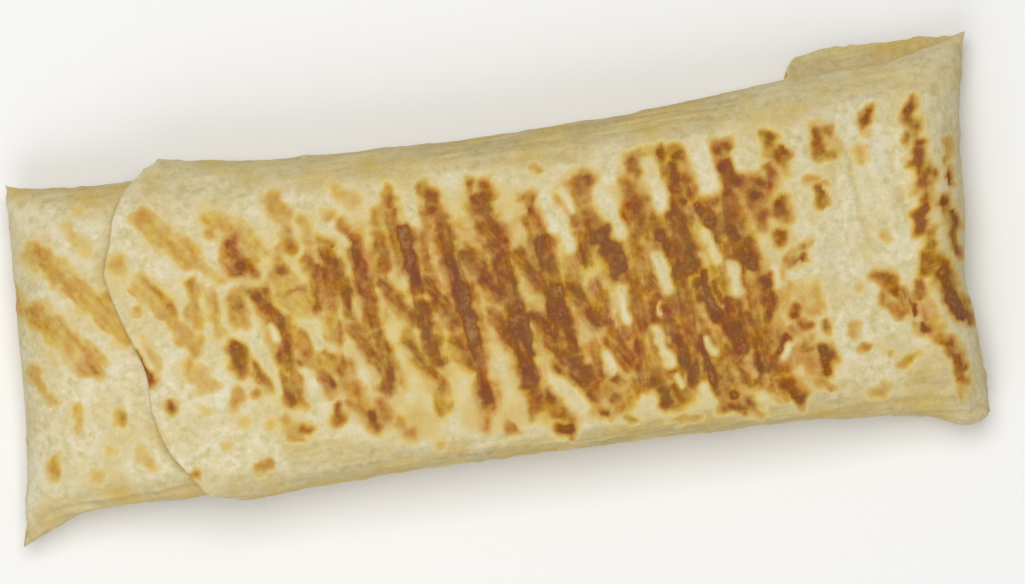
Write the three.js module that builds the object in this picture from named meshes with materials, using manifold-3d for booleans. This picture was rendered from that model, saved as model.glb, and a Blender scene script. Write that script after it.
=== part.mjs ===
// A press-grilled french tacos: a filled tortilla roll, and a second tortilla drawn over it like a sock.
// Millimetres. +X runs along the roll to the folded end of the outer tortilla, +Y to the side where its
// seam flap sticks out, +Z up. The underside rests on z = 0, and the origin is below the middle of the roll.

import * as THREE from "three";
import { mergeVertices } from "three/addons/utils/BufferGeometryUtils.js";
import Module from "manifold-3d";

// ---- Sheets -------------------------------------------------------------------------------------

const SHEET = 2.4; // thickness of one tortilla
const CLEARANCE = 0.35; // air between the two tortillas
const INSET = SHEET + CLEARANCE; // how far the roll lies inside the outer tortilla's skin

// ---- Outline, each pair is [place along the roll, distance from the long axis] -------------------

const OUTER_FAR = [[-93, 51.6], [-80, 49.6], [-56, 46.8], [-20, 45.5], [30, 45.3], [62, 46.9],
  [90, 49.5], [120, 50.8], [133, 53], [144, 55.8]];
const OUTER_NEAR = [[-90, 50.3], [-80, 50.3], [-55, 48.7], [0, 48.6], [60, 49.4], [100, 51.2],
  [118, 53.8], [129, 57.4], [134, 56.6], [138, 53]];
const ROLL_FAR = [[-147, 51.6], [-137, 50.2], [-126, 48.4], [-110, 46.9], [-100, 46.5]];
const ROLL_NEAR = [[-147, 54.6], [-138, 50.8], [-126, 47], [-118, 46.6], [-100, 47.6]];

// ---- Ends and rim, each pair is [share of the half width, -1 near to 1 far; place along the roll] --

const FOLDED_END = [[-1, 136.5], [-0.6, 135.5], [-0.22, 134], [0.1, 137.2], [0.5, 138.6],
  [0.75, 141], [1, 144.5]];
const ROLL_END = [[-1, -147], [-0.6, -142.6], [0, -140], [0.5, -138.6], [1, -137.6]];
const TOP_RIM = [[-1, -83], [-0.94, -91], [-0.84, -94.8], [-0.64, -100.7], [-0.37, -103.8],
  [-0.2, -103.9], [0, -106.8], [0.2, -110], [0.4, -111.8], [0.56, -109], [0.74, -106.4],
  [0.88, -102], [0.95, -97.8], [1, -93.4]];
const UNDER_RIM = [[-1, -83], [-0.8, -93], [-0.3, -101], [0.2, -103], [0.7, -100], [1, -93.4]];

// ---- Heights by place along the roll ---------------------------------------------------------------

const CROWN = [[-147, 26], [-125, 32], [-100, 36], [-60, 39.5], [0, 40], [60, 39], [90, 36.5],
  [110, 32.5], [119, 31.2], [128, 31.4], [138, 28], [145, 25]];
const LIP = [[-147, 10], [-120, 14], [-60, 17], [60, 17], [110, 14.5], [145, 11]];
const FAR_FULLNESS = [[-147, 2], [-110, 2.6], [-50, 3], [50, 3], [110, 2.5], [145, 1.9]];
const NEAR_FULLNESS = [[-147, 2], [-110, 3], [-50, 4], [50, 4], [110, 3], [145, 1.9]];
const BASE = { flat: 0.4, fullness: 2.5 }; // share of the half width pressed flat, and the curl beyond it

// ---- Ends, seam and flap -----------------------------------------------------------------------------

const END_ROUND = 15; // length over which an end curls down
const END_FULLNESS = 2.3;
const ROLL_SAG = { from: -104, to: -119 }; // where the bare end of the roll comes down to the table
const SEAM = { from: -93, start: 0.5, to: 91, end: 0.82, width: 0.03, step: 1.7 }; // free edge underneath
const FLAP_EDGE = [[91, 50], [93, 53.6], [96, 55.4], [106, 56.8], [117, 56.6], [129, 55.9], [141, 55.6]];
const FLAP = { root: 0.8, rootAtEar: 0.955, bite: 1, lift: 0.15, thickness: 2.1, tip: 1.2, fullness: 6 };

// ---- Marks of the grill's ribs, at an angle to the roll that leans towards +X on the near side --------

const RIB_PITCH = 14.1;
const RIB_WIDTH = 7.4;
const RIB_DEPTH = 0.75;
const CROSS_RIBS = { angle: THREE.MathUtils.degToRad(85), offset: 13, from: -78, to: 131 };
const SLANT_RIBS = { angle: THREE.MathUtils.degToRad(53), offset: -2.1, from: -150, to: 92 };
const RIB_REACH = { far: 36, near: 43, fade: 5 }; // how far across the top the plates pressed

// ---- How finely the surfaces are divided ---------------------------------------------------------------

const ROWS = 24;
const SEAM_ROW = 17; // the row across the underside that follows the free edge
const FLAP_COLUMNS = 18;
const FLAP_ROWS = 4;
const SKIN_COLUMNS = 58;
const HIDDEN_COLUMNS = 9;
const BARE_COLUMNS = 11;
const END_COLUMNS = 5;

// ---- Curves ----------------------------------------------------------------------------------------

// The value at x on a smooth curve through [place, value] pairs, level beyond its ends.
function follow(pairs, x) {
  const last = pairs.length - 1;
  if (x <= pairs[0][0]) return pairs[0][1];
  if (x >= pairs[last][0]) return pairs[last][1];
  const slope = (k) => {
    const before = pairs[Math.max(k - 1, 0)];
    const after = pairs[Math.min(k + 1, last)];
    return (after[1] - before[1]) / (after[0] - before[0]);
  };
  const i = pairs.findIndex(([place]) => place > x) - 1;
  const span = pairs[i + 1][0] - pairs[i][0];
  const s = (x - pairs[i][0]) / span;
  const s2 = s * s;
  const s3 = s2 * s;
  return (
    (2 * s3 - 3 * s2 + 1) * pairs[i][1] +
    (s3 - 2 * s2 + s) * span * slope(i) +
    (3 * s2 - 2 * s3) * pairs[i + 1][1] +
    (s3 - s2) * span * slope(i + 1)
  );
}

// A quarter of a superellipse: 1 where x is 0, and 0 where x is 1 or more.
function shoulder(x, fullness) {
  const rest = 1 - Math.min(Math.abs(x), 1) ** fullness;
  return rest ** (1 / fullness);
}

// ---- Relief of the outer skin ------------------------------------------------------------------------

// How deep one set of parallel ribs pressed at a point, from 0 to 1.
function ribPress(ribs, x, y) {
  const across = (x - ribs.offset) * Math.sin(ribs.angle) + y * Math.cos(ribs.angle);
  const away = Math.abs(across - RIB_PITCH * Math.round(across / RIB_PITCH));
  const pressed = 1 - THREE.MathUtils.smoothstep(away, RIB_WIDTH * 0.25, RIB_WIDTH * 0.75);
  const entered = THREE.MathUtils.smoothstep(x, ribs.from, ribs.from + RIB_PITCH);
  const left = 1 - THREE.MathUtils.smoothstep(x, ribs.to - RIB_PITCH, ribs.to);
  return pressed * entered * left;
}

// The dent that both sets of ribs leave on the top.
function grillDent(x, y) {
  const reach = y > 0 ? RIB_REACH.far : RIB_REACH.near;
  const touched = 1 - THREE.MathUtils.smoothstep(Math.abs(y), reach - RIB_REACH.fade, reach + RIB_REACH.fade);
  return RIB_DEPTH * touched * Math.max(ribPress(CROSS_RIBS, x, y), ribPress(SLANT_RIBS, x, y));
}

// The soft lumps that the filling pushes up.
function fillingLumps(x, y) {
  const long = Math.sin(x * 0.047 + 0.8) * Math.cos(y * 0.052 - 0.4);
  const short = Math.sin(x * 0.096 - y * 0.061 + 2.1);
  return 0.7 * long + 0.45 * short;
}

// ---- Skins -------------------------------------------------------------------------------------------

// A skin gives the size of a closed, flattened tube at every place along it: how far it reaches to the
// far and the near side, its top and its underside, and how much smaller it is than the outer tortilla.
function outerSkin(inset, relief = () => 0) {
  return {
    far: (x) => follow(OUTER_FAR, x) - inset,
    near: (x) => follow(OUTER_NEAR, x) - inset,
    crown: (x) => follow(CROWN, x) - inset,
    base: () => inset,
    startAt: () => -Infinity,
    endAt: (t) => follow(FOLDED_END, t) - inset,
    relief,
  };
}

// The roll: its own outline where it is bare, and the outer tortilla's, set in, where it is covered.
function rollSkin() {
  const covered = outerSkin(INSET);
  const share = (x) => THREE.MathUtils.smoothstep(x, -101, -86);
  const mix = (bare, hidden, x) => THREE.MathUtils.lerp(bare, hidden, share(x));
  return {
    ...covered,
    far: (x) => mix(follow(ROLL_FAR, x), covered.far(x), x),
    near: (x) => mix(follow(ROLL_NEAR, x), covered.near(x), x),
    base: (x) => INSET * THREE.MathUtils.smoothstep(x, ROLL_SAG.to, ROLL_SAG.from),
    startAt: (t) => follow(ROLL_END, t),
    relief: (x) => 1 - THREE.MathUtils.smoothstep(x, -112, -96),
  };
}

// The point of a skin at place x, at share t of its half width, on its top (side 1) or underside (-1).
function skinPoint(skin, x, t, side) {
  const y = t > 0 ? t * skin.far(x) : t * skin.near(x);
  const toEnd = Math.min(x - skin.startAt(t), skin.endAt(t) - x);
  const curl = shoulder(Math.max(1 - toEnd / END_ROUND, 0), END_FULLNESS);
  const lip = Math.max(follow(LIP, x), skin.base(x) + 1);
  if (side < 0) {
    const depth = lip - skin.base(x);
    const curled = Math.max((Math.abs(t) - BASE.flat) / (1 - BASE.flat), 0);
    const sheet = SEAM.step * seamStep(x, t) * skin.relief(x);
    return [x, y, lip - (depth * shoulder(curled, BASE.fullness) - sheet) * curl];
  }
  const fullness = follow(t > 0 ? FAR_FULLNESS : NEAR_FULLNESS, x);
  const rise = shoulder(t, fullness) * curl;
  const height = skin.crown(x) - lip + fillingLumps(x, y) - grillDent(x, y) * skin.relief(x);
  return [x, y, lip + height * rise];
}

// The free edge slants across the underside towards the far side, as a share of the half width.
function seamEdge(x) {
  return THREE.MathUtils.mapLinear(x, SEAM.from, SEAM.to, SEAM.start, SEAM.end);
}

// Beyond the free edge the underside is one sheet higher, up to where the sheet runs out into the flap.
function seamStep(x, t) {
  const beyond = THREE.MathUtils.smoothstep(t, seamEdge(x), seamEdge(x) + SEAM.width);
  const curledUp = 1 - THREE.MathUtils.smoothstep(t, 0.86, 0.98);
  return beyond * curledUp * (1 - THREE.MathUtils.smoothstep(x, SEAM.to - 8, SEAM.to));
}

// Moves a share across the underside so that one row lies on the free edge and the next one beyond it.
function alongSeam(x, row, shares) {
  const settled = THREE.MathUtils.smoothstep(x, SEAM.to, SEAM.to + 30);
  const onEdge = THREE.MathUtils.lerp(seamEdge(Math.min(x, SEAM.to)), shares[SEAM_ROW], settled);
  const past = THREE.MathUtils.lerp(onEdge + SEAM.width, shares[SEAM_ROW + 1], settled);
  const t = shares[row];
  if (row <= SEAM_ROW) return THREE.MathUtils.mapLinear(t, -1, shares[SEAM_ROW], -1, onEdge);
  return THREE.MathUtils.mapLinear(t, shares[SEAM_ROW + 1], 1, past, 1);
}

// Shares of the half width, from near to far, closer together where the sides curl down.
function rowShares(count) {
  return Array.from({ length: count + 1 }, (_, i) => Math.sin((Math.PI / 2) * ((2 * i) / count - 1)));
}

// Shares of the way along: even steps, then shorter ones where the end curls down.
function columnShares(count, endShare, atStart) {
  const even = Array.from({ length: count }, (_, i) => (i / count) * (1 - endShare));
  const curl = Array.from({ length: END_COLUMNS + 1 }, (_, i) => {
    return 1 - endShare * Math.cos((Math.PI / 2) * (i / END_COLUMNS)) ** 2;
  });
  const shares = [...even, ...curl];
  return atStart ? shares.map((s) => 1 - s).reverse() : shares;
}

// Triangles between rows of points; each row holds the same number of points.
function stitch(grid, flip, out) {
  for (let i = 0; i + 1 < grid.length; i += 1) {
    for (let j = 0; j + 1 < grid[i].length; j += 1) {
      const a = grid[i][j];
      const b = grid[i + 1][j];
      const c = grid[i + 1][j + 1];
      const d = grid[i][j + 1];
      out.push(...(flip ? [a, c, b, a, d, c] : [a, b, c, a, c, d]));
    }
  }
}

// A grid of points on one side of a skin, from one curved line across it to another.
function sheetGrid(skin, side, from, to, columns, withSeam = false) {
  const rows = rowShares(ROWS);
  return columns.map((s) =>
    rows.map((share, row) => {
      const place = (t) => THREE.MathUtils.lerp(from(t, side), to(t), s);
      const t = withSeam && side < 0 ? alongSeam(place(share), row, rows) : share;
      return skinPoint(skin, place(t), t, side);
    }),
  );
}

// One closed geometry from a list of triangle corners.
function closedGeometry(corners) {
  const geometry = new THREE.BufferGeometry();
  geometry.setAttribute("position", new THREE.Float32BufferAttribute(corners.flat(), 3));
  return mergeVertices(geometry, 1e-4);
}

// ---- The two tortillas -------------------------------------------------------------------------------

const rimAt = (t, side) => follow(side > 0 ? TOP_RIM : UNDER_RIM, t);

// The roll: one tortilla folded shut round its filling, solid all through.
function rollGeometry() {
  const skin = rollSkin();
  const corners = [];
  const bareColumns = columnShares(BARE_COLUMNS, 0.35, true);
  const hiddenColumns = columnShares(HIDDEN_COLUMNS, 0.07, false);
  for (const side of [1, -1]) {
    const start = (t) => skin.startAt(t);
    const rim = (t) => rimAt(t, side);
    const bare = sheetGrid(skin, side, start, rim, bareColumns);
    const hidden = sheetGrid(skin, side, rim, skin.endAt, hiddenColumns);
    stitch(bare, side < 0, corners);
    stitch(hidden, side < 0, corners);
  }
  return closedGeometry(corners);
}

// The outer tortilla: its skin, the hollow that the roll fills, and the cut edge between them.
function sockGeometry() {
  const skin = outerSkin(0, () => 1);
  const hollow = outerSkin(SHEET);
  const corners = [];
  for (const side of [1, -1]) {
    const outsideColumns = columnShares(SKIN_COLUMNS, 0.07, false);
    const outside = sheetGrid(skin, side, rimAt, skin.endAt, outsideColumns, true);
    const inside = sheetGrid(hollow, side, rimAt, hollow.endAt, columnShares(HIDDEN_COLUMNS, 0.07, false));
    stitch(outside, side < 0, corners);
    stitch(inside, side > 0, corners);
    stitch([inside[0], outside[0]], side < 0, corners);
  }
  return closedGeometry(corners);
}

// The corner of the same sheet that runs out past the far side near the folded end: a thin blade whose
// root lies in the wall of the underside.
function flapGeometry() {
  const skin = outerSkin(0);
  const corners = [];
  const first = FLAP_EDGE[0][0];
  const last = FLAP_EDGE[FLAP_EDGE.length - 1][0];
  const columns = Array.from({ length: FLAP_COLUMNS + 1 }, (_, i) => i / FLAP_COLUMNS);
  const rows = Array.from({ length: FLAP_ROWS + 1 }, (_, i) => Math.sin((Math.PI / 2) * (i / FLAP_ROWS)));
  const face = (side) =>
    columns.map((s) => {
      const x = THREE.MathUtils.lerp(first, last, s);
      const [, y, z] = skinPoint(skin, x, THREE.MathUtils.lerp(FLAP.root, FLAP.rootAtEar, s), -1);
      const root = y - FLAP.bite;
      const reach = Math.max(follow(FLAP_EDGE, x) - root, 0.2);
      const taper = shoulder(2 * s - 1, FLAP.fullness);
      return rows.map((out) => {
        const thick = THREE.MathUtils.lerp(FLAP.thickness, FLAP.tip, out) * taper * shoulder(out, 4);
        return [x, root + reach * out, z + FLAP.lift + FLAP.thickness / 2 + (side * thick) / 2];
      });
    });
  const top = face(1);
  const under = face(-1);
  stitch(top, false, corners);
  stitch(under, true, corners);
  stitch([under.map((row) => row[0]), top.map((row) => row[0])], true, corners);
  return closedGeometry(corners);
}

// ---- Joining -----------------------------------------------------------------------------------------

const wasm = await Module();
wasm.setup();

function solidFrom(geometry) {
  const mesh = new wasm.Mesh({
    numProp: 3,
    vertProperties: geometry.getAttribute("position").array,
    triVerts: new Uint32Array(geometry.index.array),
  });
  return new wasm.Manifold(mesh);
}

function geometryFrom(solid) {
  const mesh = solid.getMesh();
  const geometry = new THREE.BufferGeometry();
  geometry.setAttribute("position", new THREE.BufferAttribute(mesh.vertProperties, 3));
  geometry.setIndex(new THREE.BufferAttribute(mesh.triVerts, 1));
  return geometry;
}

// ---- The object ----------------------------------------------------------------------------------------

function named(name, geometry, colour, roughness) {
  const shaded = geometry.index ? geometry.toNonIndexed() : geometry;
  shaded.computeVertexNormals();
  const material = new THREE.MeshStandardMaterial({ color: colour, roughness, metalness: 0 });
  const mesh = new THREE.Mesh(shaded, material);
  mesh.name = name;
  return mesh;
}

const sock = solidFrom(sockGeometry()).add(solidFrom(flapGeometry()));
const roll = named("filled_roll", rollGeometry(), 0xd9cb99, 0.75);
const outer = named("outer_tortilla", geometryFrom(sock), 0xd8ca9f, 0.78);

const tacos = new THREE.Group();
tacos.add(roll, outer);

const bounds = new THREE.Box3().setFromObject(tacos);
const middle = bounds.getCenter(new THREE.Vector3());
tacos.position.set(-middle.x, -middle.y, -bounds.min.z);

export default tacos;
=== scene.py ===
# %% [markdown]
# # A press-grilled french tacos
#
# A french tacos is a filled wheat tortilla that was pressed flat between two hot, ribbed plates. This one
# has two tortillas. One is folded shut round the filling, and the other is drawn over it like a sock. Each
# of them becomes one piece here. The frame, a plain model of the right size, is loaded first. Nothing in it
# is moved: each piece below takes the place of one of its two solids, and lies where that solid lies.

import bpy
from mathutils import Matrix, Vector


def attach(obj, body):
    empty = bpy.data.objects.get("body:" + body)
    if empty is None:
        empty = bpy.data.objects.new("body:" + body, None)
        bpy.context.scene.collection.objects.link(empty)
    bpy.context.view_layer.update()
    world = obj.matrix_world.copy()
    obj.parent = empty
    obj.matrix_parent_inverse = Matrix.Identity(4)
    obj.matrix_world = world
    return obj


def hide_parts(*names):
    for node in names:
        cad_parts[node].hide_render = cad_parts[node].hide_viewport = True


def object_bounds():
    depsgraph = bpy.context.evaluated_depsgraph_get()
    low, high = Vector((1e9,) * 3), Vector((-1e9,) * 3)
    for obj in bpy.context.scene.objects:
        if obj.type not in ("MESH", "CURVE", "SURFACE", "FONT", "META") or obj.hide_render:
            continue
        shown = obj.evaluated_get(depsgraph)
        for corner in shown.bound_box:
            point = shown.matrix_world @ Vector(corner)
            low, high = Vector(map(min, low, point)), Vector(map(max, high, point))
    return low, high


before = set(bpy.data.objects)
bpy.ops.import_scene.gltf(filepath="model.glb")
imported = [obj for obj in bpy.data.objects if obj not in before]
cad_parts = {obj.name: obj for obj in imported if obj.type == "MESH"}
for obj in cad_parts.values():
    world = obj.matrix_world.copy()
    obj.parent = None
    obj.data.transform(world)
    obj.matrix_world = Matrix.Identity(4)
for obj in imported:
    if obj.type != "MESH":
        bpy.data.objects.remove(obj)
cad_low, cad_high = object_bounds()
print("size of the frame in metres:", tuple(round(side, 4) for side in cad_high - cad_low))

# %% [markdown]
# Blender is driven through bpy, its own library. The shapes are worked out with numpy, which treats all the
# points of a surface at once. A loop over a hundred thousand points would take minutes instead of a second.

# %% Other libraries
import math

import bpy
import numpy as np

MM = 0.001  # the shapes are worked out in millimetres, and Blender's unit is the metre
print("Blender", bpy.app.version_string, "with numpy", np.__version__)

# %% [markdown]
# ## Curves
#
# Soft food has no straight lines, but it isn't shapeless either. A few sizes that a hand could measure,
# such as the half width at ten places, are joined by a smooth curve. Blender's own Bezier curves could hold
# them, but a function of one number can be asked for its value at any place, which is what a surface of
# many points needs.

# %% Smooth curves
def follow(pairs, x):
    """The value at x on a smooth curve through (place, value) pairs, level beyond its ends."""
    place, value = np.array(pairs, float).T
    before = np.maximum(np.arange(len(place)) - 1, 0)
    after = np.minimum(np.arange(len(place)) + 1, len(place) - 1)
    slope = (value[after] - value[before]) / (place[after] - place[before])
    x = np.clip(x, place[0], place[-1])
    i = np.clip(np.searchsorted(place, x, side="right") - 1, 0, len(place) - 2)
    span = place[i + 1] - place[i]
    s = (x - place[i]) / span
    s2 = s * s
    s3 = s2 * s
    ends = (2 * s3 - 3 * s2 + 1) * value[i] + (3 * s2 - 2 * s3) * value[i + 1]
    return ends + ((s3 - 2 * s2 + s) * slope[i] + (s3 - s2) * slope[i + 1]) * span


print("a curve through (0, 1), (1, 3) and (2, 2), at 1.5:", follow([(0, 1), (1, 3), (2, 2)], 1.5))

# %% [markdown]
# Three more curves serve everywhere: a soft step from 0 to 1, for whatever begins somewhere, the outline of
# a square with rounded sides, and how high that outline is at some distance from its middle. A pressed roll
# has such a section, neither a box nor an ellipse. One number, its fullness, says how square it is: 2 gives
# a circle, and more comes nearer to a square.

# %% Soft steps and rounded squares
def ease(x, start, end):
    """Rises softly from 0 at start to 1 at end."""
    share = np.clip((x - start) / (end - start), 0, 1)
    return share * share * (3 - 2 * share)


def rounded(angle, fullness):
    """A point on a rounded square of half width 1, at an angle from its middle, as (out, up)."""
    out = np.cos(angle)
    up = np.sin(angle)
    size = (np.abs(out) ** fullness + np.abs(up) ** fullness) ** (1 / fullness)
    return out / size, up / size


def shoulder(x, fullness):
    """How high that rounded square still is at a distance x from its middle."""
    return np.maximum(1 - np.minimum(np.abs(x), 1) ** fullness, 0) ** (1 / fullness)


print("height at 0.8 of a circle and of a fuller square:", shoulder(0.8, np.array([2, 4])).round(3))

# %% [markdown]
# ## The sizes of the roll
#
# These are the driving sizes of the frame's solids, in millimetres: +X runs along the roll to its folded
# end, +Y across it to the far side, +Z up. The outline is given by pairs of (place along the roll, half
# width), and the ends by pairs of (share of the half width, place along the roll), where -1 is the near
# side and 1 the far.

# %% Outline
SHEET = 2.4  # thickness of one tortilla
CLEARANCE = 0.35  # air between the two
INSET = SHEET + CLEARANCE

OUTER_FAR = [(-93, 51.6), (-80, 49.6), (-56, 46.8), (-20, 45.5), (30, 45.3), (62, 46.9), (90, 49.5),
             (120, 50.8), (133, 53), (144, 55.8)]
OUTER_NEAR = [(-90, 50.3), (-80, 50.3), (-55, 48.7), (0, 48.6), (60, 49.4), (100, 51.2), (118, 53.8),
              (129, 57.4), (134, 56.6), (138, 53)]
ROLL_FAR = [(-147, 51.6), (-137, 50.2), (-126, 48.4), (-110, 46.9), (-100, 46.5)]
ROLL_NEAR = [(-147, 54.6), (-138, 50.8), (-126, 47), (-118, 46.6), (-100, 47.6)]
OWN_OUTLINE_ENDS = (-101, -86)  # between these the roll takes on the outline of the outer tortilla

FOLDED_END = [(-1, 136.5), (-0.6, 136), (-0.46, 135.8), (-0.25, 134.2), (-0.13, 135.6), (0.1, 137.2),
              (0.5, 138.6), (0.75, 141), (1, 144.5)]
ROLL_END = [(-1, -147), (-0.6, -142.6), (0, -140), (0.5, -138.6), (1, -137.6)]
TOP_RIM = [(-1, -83), (-0.94, -91), (-0.84, -94.8), (-0.64, -100.7), (-0.37, -103.8), (-0.2, -103.9),
           (0, -106.8), (0.2, -110), (0.4, -111.8), (0.56, -109), (0.74, -106.4), (0.88, -102),
           (0.95, -97.8), (1, -93.4)]
UNDER_RIM = [(-1, -83), (-0.8, -93), (-0.3, -101), (0.2, -103), (0.7, -100), (1, -93.4)]
FLAP_EDGE = [(91, 50), (93, 53.6), (96, 55.4), (106, 56.8), (117, 56.6), (129, 55.9), (141, 55.6),
             (143.6, 55.9)]
print("length in millimetres:", FOLDED_END[-1][1] - ROLL_END[0][1])

# %% [markdown]
# The heights go with the outline: the crown, which is the highest line of the top, the lip, where the top
# sheet turns down into the underside, and how full the section is on either side. The plates pressed the
# middle flattest, so the section is fullest there and gets rounder towards the ends.

# %% Heights
CROWN = [(-147, 26), (-125, 32), (-100, 36), (-60, 39.5), (0, 40), (60, 39), (90, 36.5), (110, 32.5),
         (119, 31.2), (128, 31.4), (138, 28), (145, 25)]
LIP = [(-147, 10), (-120, 14), (-60, 17), (60, 17), (110, 14.5), (145, 11)]
LIP_ABOVE_BASE = 1  # the least height of the lip over the underside
FAR_FULLNESS = [(-147, 2), (-110, 2.6), (-50, 3), (50, 3), (110, 2.5), (145, 1.9)]
NEAR_FULLNESS = [(-147, 2), (-110, 3), (-50, 4), (50, 4), (110, 3), (145, 1.9)]
BASE_FLAT = 0.4  # share of the half width that the lower plate pressed flat
BASE_FULLNESS = 2.5
ROLL_SAG = (-119, -104)  # between these the roll comes down to the table at its bare end

END_ROUND = 15  # length over which an end curls down
END_FULLNESS = 2.3
print("height in the middle in millimetres:", follow(CROWN, 0.0))

# %% [markdown]
# The frame's origin lies below the middle of its box, and the sizes above were measured from another point.
# So the shift between the two is worked out once, from the ends of the roll and from its widest place,
# which is on the flap that sticks out at the far side.

# %% Where the roll lies in the frame
flap_reach = follow(FLAP_EDGE, np.linspace(ROLL_END[0][1], FOLDED_END[-1][1], 500)).max()
shift = np.array([cad_low.x / MM - ROLL_END[0][1], cad_high.y / MM - flap_reach, cad_low.z / MM])
print("from the roll's own middle to the frame's origin:", shift.round(2))

# %% [markdown]
# ## Uneven surfaces
#
# Dough is uneven at every scale: lumps of filling, blisters, a dry and dusty skin. Blender's noise textures
# give such a surface in a material, but a render from the side shows that a material's bumps have no
# outline. So everything down to about a millimetre is moved in the mesh, with a noise of our own: random
# heights on a square lattice, with a smooth surface through them. Each has a seed, so that it comes out the
# same each time.

# %% Hills
LATTICE = 128


def hills(x, y, long, short, turn, seed):
    """Smooth random hills from -1 to 1: so long in the direction of turn, in degrees, and so short across."""
    heights = np.random.default_rng(seed).uniform(-1, 1, (LATTICE, LATTICE))
    c = math.cos(math.radians(turn))
    s = math.sin(math.radians(turn))
    u = (x * c + y * s) / long
    v = (y * c - x * s) / short
    i = np.floor(u).astype(int)
    j = np.floor(v).astype(int)
    p = u - i
    q = v - j
    p = p * p * p * (p * (6 * p - 15) + 10)
    q = q * q * q * (q * (6 * q - 15) + 10)
    i0, i1, j0, j1 = i % LATTICE, (i + 1) % LATTICE, j % LATTICE, (j + 1) % LATTICE
    low = heights[i0, j0] * (1 - p) + heights[i1, j0] * p
    high = heights[i0, j1] * (1 - p) + heights[i1, j1] * p
    return low * (1 - q) + high * q


def filling_lumps(x, y):
    """The soft lumps that the filling pushes up, the same as in the frame."""
    long = np.sin(x * 0.047 + 0.8) * np.cos(y * 0.052 - 0.4)
    short = np.sin(x * 0.096 - y * 0.061 + 2.1)
    return 0.7 * long + 0.45 * short


print("some hills in a row:", hills(np.arange(0, 10, 2.0), np.zeros(5), 3, 3, 0, 1).round(2))

# %% [markdown]
# ## A tortilla as a tube
#
# A tortilla that is wrapped round a filling is a flattened tube. It could be drawn as a cylinder and pulled
# into shape with a lattice or by sculpting. Here it is made of rings instead, about one every 0.75 mm, each
# a closed line that runs over the top from the near lip to the far lip and back below. A class holds how
# far a tortilla reaches at each place, so that the outer tortilla, the hollow in it and the roll inside are
# three sizes of one description.

# %% One tortilla's sizes
class Skin:
    """A closed, flattened tube: how far it reaches to each side, up and down, at every place."""

    def __init__(self, inset, bare=False):
        self.inset = inset  # how far it lies inside the outer tortilla
        self.bare = bare  # whether it has an outline of its own outside the outer tortilla

    def side(self, x, t):
        """How far it reaches to the far side where t is over 0, and else to the near side."""
        own = np.where(t > 0, follow(ROLL_FAR, x), follow(ROLL_NEAR, x))
        outer = np.where(t > 0, follow(OUTER_FAR, x), follow(OUTER_NEAR, x)) - self.inset
        return own + (outer - own) * ease(x, *OWN_OUTLINE_ENDS) if self.bare else outer

    def base(self, x):
        return self.inset * (ease(x, *ROLL_SAG) if self.bare else 1.0)

    def lip(self, x):
        return np.maximum(follow(LIP, x), self.base(x) + LIP_ABOVE_BASE)

    def crown(self, x, y):
        return follow(CROWN, x) - self.inset + filling_lumps(x, y)

    def end(self, t):
        return follow(FOLDED_END, t) - self.inset


def curled_drop(t):
    """How far down the underside is at a share of the half width: 1 where it is flat, 0 at the lip."""
    return shoulder(np.maximum((np.abs(t) - BASE_FLAT) / (1 - BASE_FLAT), 0), BASE_FULLNESS)


outer_skin = Skin(0)
hollow_skin = Skin(SHEET)
roll_skin = Skin(INSET, bare=True)
print("highest places of the three skins at x = 0:",
      [float(skin.crown(0, 0).round(1)) for skin in (outer_skin, hollow_skin, roll_skin)])

# %% [markdown]
# The points of a ring should be evenly spaced along it, or the sides get long thin faces in which no detail
# fits. So a typical section is measured once, and the rows of all rings are placed by that measure.

# %% Rows of points round a ring
UNDER_ROWS = 86
TOP_ROWS = 2 * UNDER_ROWS
MIDDLE_ROW = TOP_ROWS // 2
TYPICAL = {"half": 48, "above": 23, "below": 16, "fullness": 3.2}
FINE_STEPS = 2000  # a quarter of the typical section is measured in so many steps


def even_steps(values, across, up, count):
    """Of the values along a curve, the ones that divide it into steps of one length."""
    length = np.concatenate([[0], np.cumsum(np.hypot(np.diff(across), np.diff(up)))])
    return np.interp(np.linspace(0, length[-1], count + 1), length, values)


turn = np.linspace(math.pi, 0, 2 * FINE_STEPS + 1)
out, up = rounded(turn, TYPICAL["fullness"])
TOP_ANGLE = even_steps(turn, TYPICAL["half"] * out, TYPICAL["above"] * up, TOP_ROWS)

out, up = rounded(np.linspace(0, math.pi / 2, FINE_STEPS + 1), BASE_FULLNESS)
half = BASE_FLAT + (1 - BASE_FLAT) * out
share = np.concatenate([half, -half[::-1]])
UNDER_SHARE = even_steps(share, TYPICAL["half"] * share, TYPICAL["below"] * curled_drop(share), UNDER_ROWS)
UNDER_SHARE = UNDER_SHARE[1:-1]
RING = TOP_ROWS + UNDER_ROWS
print("points in a ring:", RING)

# %% [markdown]
# Underneath, the free edge of the outer tortilla crosses the roll at a slant. It is a step nearly as high
# as the sheet is thick. A step that cuts slantwise through a grid comes out as a staircase, so the rows are
# moved along the underside until two of them lie on either side of the edge.

# %% The free edge underneath
SEAM = {
    "from": -93, "to": 91,  # along the roll
    "start": 0.5, "end": 0.82,  # shares of the half width at these two places
    "row": 0.62,  # share of the half width at which the row lies that is moved to the edge
    "width": 0.03, "step": 1.7, "fade": 8, "settle": 30,
    "curled_up": (0.86, 0.98),  # between these shares the side has curled up off the table
}
SEAM_ROW = int(np.argmin(np.abs(UNDER_SHARE - SEAM["row"])))


def seam_share(x):
    """Where the free edge is, as a share of the half width."""
    along = np.clip((x - SEAM["from"]) / (SEAM["to"] - SEAM["from"]), 0, 1)
    return SEAM["start"] + (SEAM["end"] - SEAM["start"]) * along


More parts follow.
